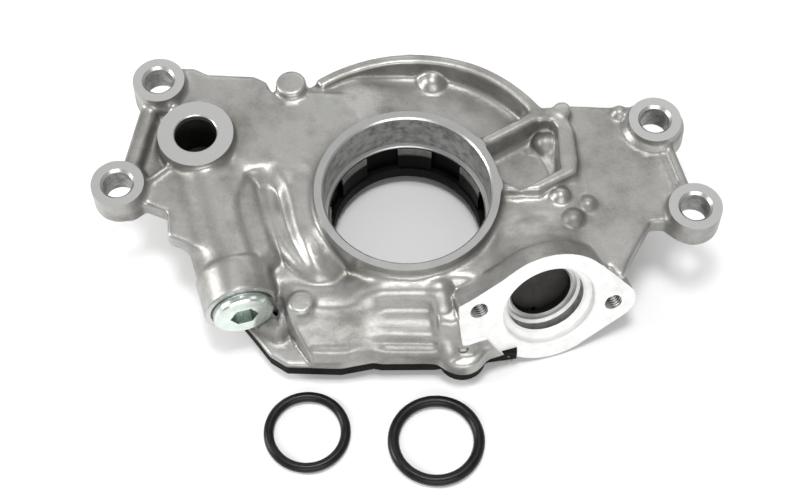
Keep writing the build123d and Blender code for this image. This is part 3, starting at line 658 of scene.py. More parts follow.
def shaft(x, y, z, place, axes, radius, start, end, edge=0.5, across=0.0, up=0.0):
    """Distance to a round bar along a plane's outward axis, between two distances.

    It is a slab whose outline is a circle, in the plane's own coordinates.
    """
    side, top, out = axes
    dx, dy, dz = x - place[0], y - place[1], z - place[2]
    u = dx * side[0] + dy * side[1] + dz * side[2] - across
    v = dx * top[0] + dy * top[1] + dz * top[2] - up
    t = dx * out[0] + dy * out[1] + dz * out[2]
    return slab(np.hypot(u, v) - radius, t, start, end, edge, 0.0)


def sector(x, y, inner, outer, start, end):
    """Distance to part of a ring round the crank, between two angles in degrees.

    It is the largest of the distances to the two radii and, along the arc, to the nearer end.
    """
    angle = np.degrees(np.arctan2(y, x))
    middle, half = (start + end) / 2, (end - start) / 2
    away = np.abs((angle - middle + 180) % 360 - 180) - half
    radius = np.hypot(x, y)
    return np.maximum(np.maximum(inner - radius, radius - outer), np.radians(away) * radius)


# %% Smooth chains of limbs
def rounded_path(points, steps=5):
    """Carries a row of points round smooth bends.

    Between b and c, with a before and d after, the path at t from 0 to 1 is
    b + t (c - a) / 2 + t^2 (a - 2.5 b + 2 c - d / 2) + t^3 (1.5 b - 1.5 c + (d - a) / 2).
    """
    points = np.array(points, dtype=np.float32)
    padded = np.vstack([2 * points[0] - points[1], points, 2 * points[-1] - points[-2]])
    path = [points[0]]
    for a, b, c, d in zip(padded, padded[1:], padded[2:], padded[3:]):
        for t in np.arange(1, steps + 1) / steps:
            path.append(b + t * (c - a) / 2 + t * t * (a - 2.5 * b + 2 * c - d / 2)
                        + t ** 3 * (1.5 * (b - c) + (d - a) / 2))
    return np.array(path)


def chain(points, x, y, z):
    """Distance to a smooth chain of limbs through points, each given as (x, y, z, radius)."""
    path = rounded_path(points) if len(points) > 2 else np.array(points, dtype=np.float32)
    gap = FAR
    for start, end in zip(path, path[1:]):
        gap = np.minimum(gap, limb(x, y, z, start[:3], end[:3], start[3], end[3]))
    return gap


def join_limbs(points, blend):
    """Adds a chain of limbs to the casting."""
    places, reach = np.array(points)[:, :3], max(point[3] for point in points) + blend + 3
    join(places.min(axis=0) - reach, places.max(axis=0) + reach,
         lambda x, y, z: chain(points, x, y, z), blend)


# %% [markdown]
# ## The case
# The case is a drum round the rotors with a flange at the joint face, lobes for the cover
# screws, and a high shoulder up to the level of the wings. The wings are thin webs that
# carry the four ears. One outline pulled straight up would be quicker, but each level of a
# casting has its own outline and draft, so each level is a slab of its own here.

# %% Outlines seen from above
CORNER = [(-40, -10), (-51, -26), (-51.4, -32), (-46.2, -38.8), (-42.2, -44.2), (-37, -47.7),
          (-20.5, -48.3), (-10.5, -46.3), (9, -46.8), (9, -20)]
TOE = [(10, -30), (20, -47), (24.5, -44.4), (33.4, -43.1), (33.4, -30)]
SHOULDER = [(-31, 42), (-49, 36), (-56, 15), (-47, 13.5), (-43.4, 9.5), (-40.6, 4), (-39, -2),
            (-37.8, -8), (-36, -14.6), (-33.4, -20), (-30.5, -24.3), (-27.5, -26.6),
            (-23.8, -26.6), (-20.8, -24.2), (-18.6, -22.6), (-16.5, -24), (-14, -28), (-11, -30),
            (-7, -31), (12, -31.5), (24, -32), (50, -24), (57.5, -6), (55.5, 8), (53, 32),
            (30, 38)]
SCOOP = [(-29, -12), (-33.4, -18), (-33, -25), (-28, -30), (-22, -28.5), (-18.5, -25.5),
         (-17, -21.5), (-18, -17), (-24, -9)]
RAMP = [(-21, -27), (-20, -31.5), (-13, -33), (-8, -29), (-14, -20), (-17, -23)]
WALL_BLOCK = [(-40, -28), (-39.2, -33), (-38, -37), (-36.4, -39.4), (-34.6, -41), (-33.6, -41.6),
              (-31.5, -44.6), (-29.2, -48), (-20.5, -47.9), (-10.5, -45.9), (9, -46.4), (9, -28)]
CORNER_FLAT = [(-60, -20), (-50, -31), (-40, -28), (-36.4, -36), (-33.6, -41.6), (-29.2, -48),
               (-28.6, -52), (-45, -52)]
BODY = [(-48, 4), (-52, -16), (-43, -31), (-36, -33), (-34.6, -38), (-33.5, -39.8),
        (-29.3, -46.8), (-27.2, -44.2), (-17.6, -43.5), (-12.6, -42.3), (-6.5, -45), (7, -45.6),
        (13, -46.5), (20, -46.5), (24, -41.5), (36, -33), (45.5, -14), (54, -10), (54.5, -1),
        (46, 8), (20, 30), (-30, 38)]
VALLEY = [(-54, 10), (-50, -18), (-46, -29), (-41.4, -31.5), (-38.6, -33.6), (-37, -37),
          (-35.4, -38.4), (-31, -37.6), (-26, -36.4), (-20, -36.6), (-16, -35.6), (-11, -33.4),
          (0, -32), (8, -20), (-10, 0), (-35, 12)]
FRONT_WALL = [(-44, -26), (-44, -54), (9, -54), (9, -26), (-20, -20)]
LEFT_WING = [(-30, 38), (-42.7, 39.3), (-44.5, 43.2), (-48.5, 45.5), (-63.4, 46.4), (-68, 48.8),
             (-78.5, 48.9), (-86, 41.1), (-84.2, 33.5), (-88.2, 13.7), (-96, 2.7), (-84.8, -4.6),
             (-81, -2.3), (-73.9, -5.3), (-73.1, -13.8), (-58, -20.6), (-50, 9), (-41, 12),
             (-30, 10)]
RIGHT_WING = [(40, 30), (49, 33.4), (52.2, 33.4), (64.5, 32.7), (69, 33), (77.7, 32.2),
              (84.8, 26), (83.2, 17.9), (86.9, 3.9), (94, -6.8), (87, -13.5), (78.5, -10),
              (74.3, -10.4), (66.9, -23.9), (65, -29), (52, -30), (44, -10)]
SIDE_POCKET = [(22, 14.6), (25.9, 17.0), (39.9, 25.2), (45.6, 25.2), (47.3, 22.8), (47.6, 7.4),
               (35.1, -0.1), (29, 3.2), (22, 4)]
POCKET_FRAME = [(22.9, 20.3), (34.9, 27), (38.8, 30.2), (44.1, 31.4), (50, 31), (51.5, 26.4),
                (53.2, 22), (54, 10.3), (53.2, 5.4), (40.6, -1.4), (28.5, -1.4), (20, 0), (18, 17)]
WING_POCKET = [(-76, 32.5), (-79.5, 33), (-84, 12), (-80.5, 6.2), (-72, 13), (-70, 27)]

# %% The case's plan, and forms pulled from outlines
FRONT_LIMIT = -46.8
REAR_LOBE = (0.9, 47.5)
REAR_LOBE_RADIUS = 6.5
SCREW_LOBE_BLEND = 1.5
REAR_LOBE_BLEND = 1.0

PLAN_X, PLAN_Y = GX[:, None, None], GY[None, :, None]
EVERYWHERE = ((-999, -999, -999), (999, 999, 999))


def print_volume(what):
    """Prints how much metal the field holds after a step."""
    volume = float((field < 0).sum()) * CELL ** 3 / 1000
    print("with", what, "the casting holds", round(volume, 1), "cubic centimetres")


def case_plan():
    """Plan distance of the outline that the case and its cover share."""
    rear = np.maximum(disc(PLAN_X, PLAN_Y, (0, 0), ARC_RADIUS), -PLAN_Y)
    plan = np.maximum(disc(PLAN_X, PLAN_Y, (0, 0), CASE_RADIUS), FRONT_LIMIT - PLAN_Y)
    plan = np.minimum(plan, rear)
    for points in (CORNER, TOE):
        plan = np.minimum(plan, outline_distance(points, PLAN_X, PLAN_Y))
    for place in SCREW_PLACES:
        plan = smooth_join(plan, disc(PLAN_X, PLAN_Y, place, SCREW_LOBE), SCREW_LOBE_BLEND)
    lobe = disc(PLAN_X, PLAN_Y, REAR_LOBE, REAR_LOBE_RADIUS)
    return smooth_join(plan, lobe, REAR_LOBE_BLEND)


def plan_form(points, low, high, edge, draft=0.03, around=EVERYWHERE):
    """A form that pulls an outline up, ready for join or cut between two corners of the grid."""
    _, x, y, _ = window(*around)
    plan = outline_distance(points, x, y)
    return lambda x, y, z: slab(plan, z, low, high, edge, draft)


def post(place, radius, low, high, edge=0.6, draft=0.03):
    """An upright round form, ready for join."""
    return lambda x, y, z: slab(disc(x, y, place, radius), z, low, high, edge, draft)


def rib(start, end, width, low, high, edge):
    """An upright bar with round ends, ready for join or cut."""
    return lambda x, y, z: slab(bar(x, y, start, end, width), z, low, high, edge)


# %% The front wall and the scoop
WALL_LINE = (19.5, 45.3)
WALL_FOOT = -21.0
WALL_BEND = -12
WALL_BEND_SPAN = 6
FLANGE_TOP = -21.6
REAR_TOP = -5
SCOOP_FLOOR = (10.58, 0.3523, 0.2151)


def front_room(x, y, z):
    """The room before the front wall, which leans back at 45 degrees.

    The distance to such a plane is (z - y), less where it starts, times the root of a half.
    On the right of the bend the plane is set back, by an even S-shaped step.
    """
    shift = np.clip((x - WALL_BEND) / WALL_BEND_SPAN, 0, 1)
    back = 0.3 - 1.3 * shift * shift * (3 - 2 * shift)
    wall = math.sqrt(0.5) * (z + WALL_LINE[0] - y - WALL_LINE[1]) - back
    return np.maximum(np.maximum(-wall, WALL_FOOT - z), outline_distance(FRONT_WALL, x, y))


def scoop(x, y, z):
    """The scoop beside the shoulder, whose floor is a plane that falls to the front right."""
    level, along, back = SCOOP_FLOOR
    floor = z + level + along * x - back * y
    return -smooth_join(-outline_distance(SCOOP, x, y), floor, 1.8)


# %% Case, shoulder and wings
def build_case():
    """Joins the drum, its flange, the shoulder and both wings."""
    plan = case_plan()
    rear = np.maximum(disc(PLAN_X, PLAN_Y, (0, 0), ARC_RADIUS), 15 - PLAN_Y)
    shoulder = outline_distance(SHOULDER, PLAN_X, PLAN_Y) - 1.2
    join(*EVERYWHERE, lambda x, y, z: slab(plan, z, JOINT_FACE - 1.5, FLANGE_TOP, 1.2, 0.0), 0.1)
    join(*EVERYWHERE, plan_form(BODY, -23, -10, 2.0, 0.42), 0.8)
    join(*EVERYWHERE, plan_form(WALL_BLOCK, -24, -9.6, 2.2, 0.02), 0.8)
    cut((-46, -56, -24), (12, -20, 4), front_room, 0.7)
    cut(*EVERYWHERE, plan_form(CORNER_FLAT, -24.6, 0, 0.3, 0.0), 0.4)
    join(*EVERYWHERE, lambda x, y, z: slab(rear, z, JOINT_FACE + 1, REAR_TOP, 1.0, 0.0), 1.0)
    join(*EVERYWHERE, plan_form(VALLEY, -22, -9.6, 2.6, 0.3), 2.4)
    join(*EVERYWHERE, plan_form(RAMP, -18, -7.4, 2.4, 0.3), 2.8)
    join(*EVERYWHERE, lambda x, y, z: slab(shoulder, z, -9.5, WING_TOP, 0.8, 0.8), 1.2)
    cut(*EVERYWHERE, scoop, 1.6)
    for wing in (LEFT_WING, RIGHT_WING):
        join(*EVERYWHERE, plan_form(wing, WING_BOTTOM, WING_TOP, 0.9), 1.2)


build_case()
print_volume("the case and the wings")


# %% [markdown]
# ## The ring, the arc wall and the pockets
# Behind the bored ring the die leaves a sunken floor with a curved wall round it, and beside
# it a framed pocket. They could be built up wall by wall. Cutting them out of the case with
# a rounded rim is nearer to a die, whose core leaves the same soft edges round its floor.

# %% Recess, arc wall and pockets
RECESS_ENDS = (30, 127)
RECESS_RISE_START = 126
RECESS_RISE_SPAN = 36
RECESS_LIP = 0.4
MM_PER_DEGREE = 0.7
ARC_ENDS = (30.5, 124)
ARC_FALL = 0.058
WALL_LEAN = 0.16


def recess(x, y, z):
    """The room between the ring and the arc wall, whose floor rises softly at its left end.

    The rise goes from 0 to 1 along the arc, and the floor follows it by 3 r^2 - 2 r^3.
    """
    angle = np.degrees(np.arctan2(y, x))
    rise = np.clip((RECESS_RISE_START - angle) / RECESS_RISE_SPAN, 0, 1)
    drop = RECESS_FLOOR - WING_TOP - RECESS_LIP
    floor = WING_TOP + RECESS_LIP + drop * rise * rise * (3 - 2 * rise)
    radius = np.hypot(x, y)
    across = np.maximum(RING_RADIUS - 0.5 - radius, radius - ARC_INNER)
    ends = np.maximum(RECESS_ENDS[0] - angle, angle - RECESS_ENDS[1]) * MM_PER_DEGREE
    frame_side = outline_distance(POCKET_FRAME, x, y)
    flat = smooth_join(smooth_join(-across, -ends, 3.0), frame_side, 2.0)
    return -smooth_join(smooth_join(flat, z - floor, 3.2), 4 - z, 0.1)


def arc_wall(x, y, z):
    """The curved wall behind the ring, whose top slopes down to the left."""
    top = np.minimum(ARC_FALL * (x - 25), 0)
    plan = sector(x, y, ARC_INNER, ARC_RADIUS, *ARC_ENDS)
    return slab(plan, z - top, JOINT_FACE, 0, 0.7, 0.0)


def pocket_form(points, floor, fillet):
    """A pocket with a rounded floor and walls that open by WALL_LEAN per height, for cut."""
    plan = outline_distance(points, PLAN_X, PLAN_Y)
    return lambda x, y, z: -smooth_join(-plan + WALL_LEAN * z, z - floor, fillet)


# %% Ring and walls
def build_ring_and_walls():
    """Adds the pocket's frame, hollows the recess and pockets, and adds the ring and arc wall."""
    join(*EVERYWHERE, plan_form(POCKET_FRAME, -12, -0.4, 0.7, 0.1), 1.6)
    join((40, 22, -24), (58, 38, 4), post((48.9, 29.3), 3.2, -18, -0.2, 0.5, 0.02), 1.0)
    cut((-40, 0, -12), (60, 60, 4), recess, 0.6)
    cut(*EVERYWHERE, pocket_form(SIDE_POCKET, RECESS_FLOOR, 2.4), 0.5)
    cut(*EVERYWHERE, pocket_form(WING_POCKET, WING_TOP - 3.2, 1.6), 0.5)
    join((-40, -40, -20), (40, 40, 4), post((0, 0), RING_RADIUS, -17, 1.5, 0.6, 0.0), 2.0)
    join((-45, 5, -27), (60, 60, 4), arc_wall, 0.8)
    join((-8, 42, -27), (12, 58, 2), post((1.4, 50.4), 2.9, JOINT_FACE, -2.6, 1.0, 0.02), 1.0)


build_ring_and_walls()
print_volume("the ring, the walls and the recesses")


# %% [markdown]
# ## Bosses and oil galleries
# Each cover screw ends in a blind boss, and the oil galleries show outside as rounded
# swellings. A bevelled tube would still meet the case in a line. A chain of round limbs
# with a wide blend gives their soft, poured look.

# %% Bosses and galleries
REAR_LEFT, REAR, RIGHT_REAR = SCREW_PLACES[:3]
FRONT_LEFT = SCREW_PLACES[5]
BOSSES = [
    ([(*REAR, -18, 4.0), (*REAR, -9.6, 4.4)], 1.6),
    ([(*RIGHT_REAR, -18, 4.2), (*RIGHT_REAR, -8.2, 4.2)], 1.4),
    ([(43.9, 20.2, -8.8, 2.8), (48.2, 9.5, -9.7, 2.8)], 1.4),
    ([(50.7, -8.6, -12, 3.9), (50.7, -8.6, -5.3, 3.9)], 0.7),
    ([(47.2, -0.4, -9, 3.3), (47.2, -0.4, -4.7, 3.3)], 0.7),
    ([(55.4, -3.4, -8, 2.6), (55.4, -3.4, -4.6, 2.6)], 1.8),
    ([(67.2, 30.0, -8, 2.7), (67.2, 30.0, -4.4, 2.7)], 0.8),
    ([(12.8, -44.6, -25, 4.2), (12.4, -43.6, -22.2, 4.2), (11.0, -39.6, -17.2, 3.8),
      (10.6, -35.0, -12.2, 3.8), (9.6, -30.8, -8.4, 4.2)], 0.8)]
GALLERIES = [
    ([(-38, 10, -12, 8.0), (*OUTLET, -12, 8.0)], 2.0),
    ([(-44.6, 11, -9.6, 3.2), (-43.0, 4, -9.7, 3.3), (-41.2, -4.4, -9.7, 3.3),
      (-37.7, -13.6, -9.7, 3.3), (-33.0, -20.4, -9.9, 3.3), (-28.3, -24.2, -10.6, 3.3),
      (-24.5, -24.6, -11.6, 3.1)], 1.2),
    ([(-31, -33.4, -13.6, 3.8), (-27, -33.0, -13.3, 4.0), (-22, -33.3, -13.3, 4.0),
      (-18.3, -33.2, -12.8, 4.0), (-14.4, -32, -11.3, 4.0), (-10.8, -30.8, -9.8, 4.0),
      (-7.4, -30.2, -8.9, 4.1), (-2.4, -30.2, -8.6, 4.1), (9, -30.2, -8.6, 4.1)], 2.4)]
LEDGES = [
    ([(-9.8, -38.0, -15.6, 1.2), (-7.4, -37.0, -15.2, 2.1), (7.5, -37.2, -15.2, 2.1)], 2.2),
    ([(-12.4, -40.4, -17.4, 1.2), (-8.5, -40.1, -17.2, 2.1), (7.5, -40.6, -17.4, 2.1)], 2.2),
    ([(-28.4, -45.0, -20.3, 1.9), (-19.2, -45.0, -20.3, 2.0), (-14.6, -43.7, -19.9, 2.0),
      (-11.4, -43.2, -20.1, 2.0), (-7.1, -44.3, -21.1, 2.0), (7.5, -44.5, -21.2, 2.0)], 1.0)]


def build_bosses_and_galleries():
    """Adds two posts, the domed bosses and front column, the galleries and the front ledges."""
    join((-50, 25, -27), (-20, 55, 2), post(REAR_LEFT, 5.6, JOINT_FACE, -1.5, 0.8), 1.8)
    join((-45, -50, -27), (-18, -20, 0), post(FRONT_LEFT, 4.1, JOINT_FACE, -8.0, 0.5, 0.02), 1.8)
    for points, blend in BOSSES + GALLERIES + LEDGES:
        join_limbs(points, blend)


build_bosses_and_galleries()
print_volume("the bosses and the galleries")


# %% [markdown]
# ## The relief valve's boss and the outlet boss
# The valve lies in a long round boss with a thicker collar at its open end. A thin ridge
# beside it holds the return gallery. These could be lathe shapes set into the case. As
# fields along their own axis they get the same fillets as the rest of the casting.

# %% Valve boss
FOOT = [(-49, -31), (-47.4, -35.8), (-44.8, -37.9), (-42.3, -39.9), (-40.1, -41), (-38, -40.3),
        (-36.8, -38.3), (-36, -30)]
FOOT_RISER = [(-41.2, -28), (-40.6, -37), (-38.6, -39.4), (-36.6, -38), (-36, -28)]
SLOT = [(-40.7, -33.6), (-40.1, -31), (-39.5, -31), (-39.6, -33.9)]
SHELF = [(-60, -14), (-62, -26), (-44, -31), (-36, -20), (-44, 0)]
VALVE_AROUND = ((-90, -50, -27), (-25, 45, 4))


def valve_shaft(radius, start, end, edge, across=0.0, up=0.0):
    """A round form along the valve's axis, ready for join. It may lie beside the axis."""
    return lambda x, y, z: shaft(
        x, y, z, VALVE_END, VALVE_AXES, radius, start, end, edge, across, up)


def build_valve_boss():
    """Adds the shelf under the valve, its boss and collar, the ridge beside it and the foot."""
    around = VALVE_AROUND
    join(*around, plan_form(SHELF, -23, -14, 1.2, 0.05, around), 2.0)
    join(*around, valve_shaft(11.0, -VALVE_LENGTH - 8, -2, 2.0), 2.2)
    join(*around, valve_shaft(11.7, -12.4, 0.8, 0.8), 0.8)
    join(*around, valve_shaft(5.0, -53, -9, 4.5, 10.0, 2.5), 2.2)
    cut(*around, valve_shaft(12.6, 0.3, 40, 1.5), 0.8)
    join(*around, plan_form(FOOT, -26.5, -18.2, 2.2, 0.35, around), 0.8)
    join(*around, plan_form(FOOT_RISER, -26.5, -14.5, 1.6, 0.15, around), 1.5)
    cut(*around, valve_shaft(9.9, 0.3, 40, 0.5), 0.6)
    cut(*around, plan_form(SLOT, -23.5, 0, 0.1, 0.0, around), 0.3)


build_valve_boss()
print_volume("the valve boss")

# %% Outlet boss, links and ears
LEFT_RIBS = [((-80.2, 5.4), (-72.8, 12), 1.6, -8, -2.8, 0.6),
             ((-76, 36), (-70, 29), 3.4, -8, -2.6, 0.8),
             ((-81.4, 33), (-85.6, 12), 4.4, -10, -3, 0.9)]
LEFT_RIB_BLENDS = (1.2, 1.6, 1.2)
EAR_REACH = 14


def build_outlet_and_ears():
    """Adds the outlet boss, the wing's small ribs, the links between ears, and the ears."""
    join((-85, 0, -16), (-45, 42, 4), post(OUTLET, OUTLET_RADIUS, -14, 1.5, 0.5, 0.0), 2.2)
    for numbers, blend in zip(LEFT_RIBS, LEFT_RIB_BLENDS):
        join((-100, -12, -12), (-55, 52, 4), rib(*numbers), blend)
    right_link = ((70, -5, -12), (95, 25, 2))
    join(*right_link, rib((80.6, 17.5), (84.6, 3), 4.8, -10, -2.6, 0.7), 1.0)
    cut(*right_link, rib((80.0, 15.8), (83.4, 3.4), 1.1, -3.8, 2, 0.2), 0.5)
    for place in EARS:
        low = (place[0] - EAR_REACH, place[1] - EAR_REACH, -13)
        high = (place[0] + EAR_REACH, place[1] + EAR_REACH, 4)
        join(low, high, post(place, EAR_RADIUS, -10, 1.5, 0.6, 0.0), 2.4)
    join((62, 10, -13), (92, 40, 4), post(EARS[2], EAR_RADIUS + 1.5, -10, -2.7, 0.8), 1.0)


build_outlet_and_ears()
print_volume("the outlet boss and the ears")

# %% [markdown]
# ## The pickup flange
# The flange is tilted up and turned out so that the pickup tube can run down into the sump.
# It could be drawn as it appears from above, but then its circles would be ellipses. So
# its outline is worked out in its own plane, at true size, and then laid into the grid.

# %% Sizes of the pickup flange
PICKUP_HOLES = [(-21.8, 6.1), (20.5, -4.9)]
PICKUP_RIM = 20.4
PICKUP_RISE = 0.6
ROUND_EAR_RADIUS = 7.0
SCREW_FOOT_PLACE = (16.8, -41.0)
SCREW_FOOT_RADIUS = 9.4
SCREW_FOOT_LEAN = 0.93
SCREW_FOOT_TOP = -16.5
SCREW_FOOT_SCALE = 0.73
BARREL_RADIUS = 18.5
ROOM_GAP = 1.2
EAR_ROOM_BOTTOM = -19.4
LOWEST = -33.6
PICKUP_EAR = [(-28.3, -4.8), (-28.3, 9.7), (-23.4, 11.4), (-5.6, 19.4), (0, 0), (-14, -14.8),
              (-20.6, -4.8)]
PICKUP_SKIRT = [(-28.3, -3), (-20, -3), (-15.5, -9), (-11, -12.2), (-8, -15.5), (-28, -15.5)]
PICKUP_AROUND = ((5, -62, -35), (80, 5, 8))


# %% The flange's plan
def pickup_coordinates(x, y, z):
    """The grid seen from the flange: across its face, up its face and out of it."""
    dx, dy, dz = (a - b for a, b in zip((x, y, z), PICKUP_PLACE))
    return [dx * a[0] + dy * a[1] + dz * a[2] for a in PICKUP_AXES]


def pickup_plan(u, v):
    """Distance in the face's plane to the rim, the round ear with its neck, and the square ear.

    The neck is a straight line whose half width shrinks evenly from the rim's radius to the
    ear's. It is measured at the point of that line where its side is nearest.
    """
    rim = np.hypot(u, v - PICKUP_RISE) - PICKUP_RIM + PICKUP_RISE
    hole = PICKUP_HOLES[1]
    reach = math.hypot(*hole)
    along = (u * hole[0] + v * hole[1]) / reach
    aside = np.abs(u * hole[1] - v * hole[0]) / reach
    lean = (PICKUP_RIM - ROUND_EAR_RADIUS) / reach
    side = np.sqrt(1 - lean * lean)
    touch = np.clip((along - aside * lean / side) / reach, 0, 1)
    cone = np.hypot(along - touch * reach, aside) - PICKUP_RIM
    cone = cone + touch * (PICKUP_RIM - ROUND_EAR_RADIUS)
    square = outline_distance(PICKUP_EAR, u, v)
    return smooth_join(np.minimum(rim, cone), square, 1.0)


# %% Parts of the pickup flange
def pickup_flange(x, y, z):
    """The flange's plate, which stands a little proud so that it can be faced."""
    u, v, out = pickup_coordinates(x, y, z)
    return slab(pickup_plan(u, v), out, -7.5, 1.2, 0.6, 0.0)


def pickup_room(x, y, z):
    """The room in front of the flange's face, which nothing of the case may fill."""
    u, v, out = pickup_coordinates(x, y, z)
    mouth = np.hypot(u, v) - PICKUP_RIM
    ears = np.maximum(pickup_plan(u, v), EAR_ROOM_BOTTOM - z)
    return np.maximum(np.minimum(mouth, ears) - ROOM_GAP, -out)


def pickup_barrel(x, y, z):
    """The round barrel behind the flange."""
    return shaft(x, y, z, PICKUP_PLACE, PICKUP_AXES, BARREL_RADIUS, -21, -1, 3.0)


def pickup_skirt(x, y, z):
    """The cast wall below the square ear, nearly level with the face."""
    u, v, out = pickup_coordinates(x, y, z)
    return slab(outline_distance(PICKUP_SKIRT, u, v), out, -9, 1.0, 1.0, 0.0)


def screw_foot(plan):
    """The sloping foot of the case over the front cover screw, within the case's plan.

    A circle's distance plus the lean times the height is a cone. It grows faster than true
    distance, by the root of 1 + lean^2, and the scale takes that back.
    """
    def form(x, y, z):
        """The cone, kept within the plan and below the foot's top."""
        cone = disc(x, y, SCREW_FOOT_PLACE, SCREW_FOOT_RADIUS) + SCREW_FOOT_LEAN * (z - JOINT_FACE)
        inside = np.maximum(np.maximum(cone, plan + 0.1), z - SCREW_FOOT_TOP)
        return inside * SCREW_FOOT_SCALE
    return form


# %% Pickup flange
def build_pickup():
    """Clears the front of the face, adds the foot, wall, barrel and flange, and trims below."""
    cut(*PICKUP_AROUND, pickup_room, 0.6)
    join(*EVERYWHERE, screw_foot(case_plan()), 1.6)
    join(*PICKUP_AROUND, pickup_skirt, 1.6)
    join(*PICKUP_AROUND, pickup_barrel, 4.0)
    join(*PICKUP_AROUND, pickup_flange, 1.2)
    cut(*EVERYWHERE, lambda x, y, z: z - LOWEST, 0.5)


build_pickup()
print_volume("the pickup flange")


# %% Even out the field
def smooth_field(values, times):
    """Averages each point with its neighbours, which rounds edges as a die's polish does."""
    for _ in range(times):
        for axis in range(3):
            before = np.roll(values, 1, axis=axis)
            after = np.roll(values, -1, axis=axis)
            values = (before + after + 2 * values) / 4
    return values


FIELD_LIMIT = 4
field = smooth_field(np.clip(field, -FIELD_LIMIT, FIELD_LIMIT), 1)
print("the field spans", round(float(field.min()), 2), "to", round(float(field.max()), 2), "mm")


# %% [markdown]
# ## From field to mesh
# Blender's own volume library turns the grid into a skin. It keeps few faces where the
# casting is flat and many where it bends.

# %% Casting mesh
FLATNESS = 0.02
BAND = 3 * CELL
SKIN_EDGE_ANGLE = 60


def mesh_from_field(values, name):
    """A closed mesh where the field is zero, in millimetres."""
    grid = openvdb.FloatGrid(BAND)
    grid.copyFromArray(np.clip(values, -BAND, BAND).astype(np.float32))
    grid.gridClass = openvdb.GridClass.LEVEL_SET
    points, triangles, quads = grid.convertToPolygons(0.0, FLATNESS)
    points = points * CELL + np.array([GX[0], GY[0], GZ[0]])
    faces = [list(face[::-1]) for face in triangles.tolist()]
    faces += [list(face[::-1]) for face in quads.tolist()]
    print(name, "has", len(triangles) + 2 * len(quads), "triangles")
    return add_piece(name, points, faces, FINISHES, SKIN_EDGE_ANGLE)


housing = mesh_from_field(field, "housing_casting")


# %% [markdown]
# ## Machining
# The casting is then cut as the real one is: faces first, then bores. Each tool is a lathe shape, a
# box, an outline pulled straight or a threaded rod. Its faces carry finishes, so every cut comes
# out crisp against the soft cast skin: bright, satin, near-white on the pickup's faces, which is
# painted light, or near-black deep in bores and thread roots, which is painted shade.

# %% Cutting tools
# Of these, the fourth is near black, painted shade deep in bores and thread roots, and the last is
# near white, painted light on the pickup's faces.
AS_CAST, BRIGHT, SATIN, PAINTED_SHADE, TURNED_RING, PAINTED_LIGHT_FACE = range(6)


def machine(piece, points, faces, finish=BRIGHT):
    """Cuts a tool out of a piece. The cut faces take the tool's finish, or one for each face."""
    tool = add_piece("tool", points, faces, FINISHES)
    index = np.broadcast_to(finish, len(tool.data.polygons)).astype(np.int32)
    tool.data.polygons.foreach_set("material_index", index)
    cutting = piece.modifiers.new("cut", "BOOLEAN")
    cutting.operation = "DIFFERENCE"
    cutting.solver = "MANIFOLD"
    cutting.object = tool
    graph = bpy.context.evaluated_depsgraph_get()
    result = bpy.data.meshes.new_from_object(piece.evaluated_get(graph))
    piece.modifiers.remove(cutting)
    old = piece.data
    piece.data = result
    bpy.data.meshes.remove(old)
    bpy.data.objects.remove(tool)


def lathe_tool(profile, place=(0, 0, 0), axes=np.eye(3), steps=128, finishes=None):
    """A cutting tool turned from a profile, with one finish for each side of the profile."""
    if finishes is None:
        finishes = [BRIGHT] * (len(profile) - 1)
    if profile[0][1] > profile[-1][1]:
        finishes = finishes[::-1]
    points, faces = turned(profile, steps, place, axes)
    order = finishes[1:-1] + [finishes[0], finishes[-1]]
    machine(housing, points, faces, np.repeat(order, steps))


# %% Cuts along the crank axis
JOINT_RADIUS = 48.2
JOINT_SPOT_RADIUS = 8.0
TOOL_BOTTOM = -45


def face_ears():
    """Faces each ear level with the mounting plane and bores its chamfered hole."""
    for place in EARS:
        lathe_tool([(0, 4), (9.2, 4), (9.2, 0), (5.3, 0), (4.5, -0.8), (4.5, -9.4), (5.1, -10),
                    (5.1, -13), (0, -13)], (*place, 0), steps=96,
                   finishes=[BRIGHT] * 4 + [SATIN] * 4)


def bore_case():
    """Faces and bores the outlet, the ring, the crank passage and the rotor pocket."""
    lathe_tool([(0, 4), (13.0, 4), (13.0, 0), (6.95, 0), (6.65, -0.3), (6.65, -2.2), (6.65, -18),
                (0, -18)], (*OUTLET, 0), finishes=[BRIGHT] * 4 + [SATIN, PAINTED_SHADE, PAINTED_SHADE])
    lathe_tool([(0, 4), (30.2, 4), (30.2, 0), (26.3, 0), (CRANK_BORE, -0.5), (CRANK_BORE, -14),
                (24.7, -14), (CRANK_LEDGE, -14.4), (CRANK_LEDGE, -16), (0, -16)], steps=192,
               finishes=[TURNED_RING] * 3 + [BRIGHT, SATIN, BRIGHT, BRIGHT, PAINTED_SHADE, PAINTED_SHADE])
    lathe_tool([(0, -15), (POCKET_RADIUS, -15), (POCKET_RADIUS, -32), (0, -32)],
               (0, ECCENTRICITY, 0), steps=192, finishes=[PAINTED_SHADE] * 3)


# %% The joint face
def face_joint():
    """Mills the joint face that the cover lies on, clear of the pickup barrel."""
    for low, high in (((-110, -8), (110, 70)), ((-110, -34), (33.5, 0)),
                      ((-110, -70), (30.6, -34))):
        machine(housing, *box_points((*low, TOOL_BOTTOM), (*high, JOINT_FACE)))
    for radius, steps, place in ((JOINT_RADIUS, 192, (0, 0, 0)),
                                 (JOINT_SPOT_RADIUS, 128, (*SCREW_PLACES[3], 0))):
        lathe_tool([(0, JOINT_FACE), (radius, JOINT_FACE), (radius, TOOL_BOTTOM),
                    (0, TOOL_BOTTOM)], place, steps=steps)


face_ears()
bore_case()
face_joint()
print("after facing, the casting has", len(housing.data.polygons), "faces")


# %% [markdown]
# ## The valve's bore and the pickup's face
# The valve boss takes a plug and the flange takes the pickup tube, so both have stepped
# bores and crisp faces, and the flange has two tapped holes. A thread could be only a bump
# in a finish, but these two are seen at a slant, so a rod with a helical ridge cuts them.

# %% A threaded tool
THREAD_START = 0.5
ROOT_SHARE = 0.45


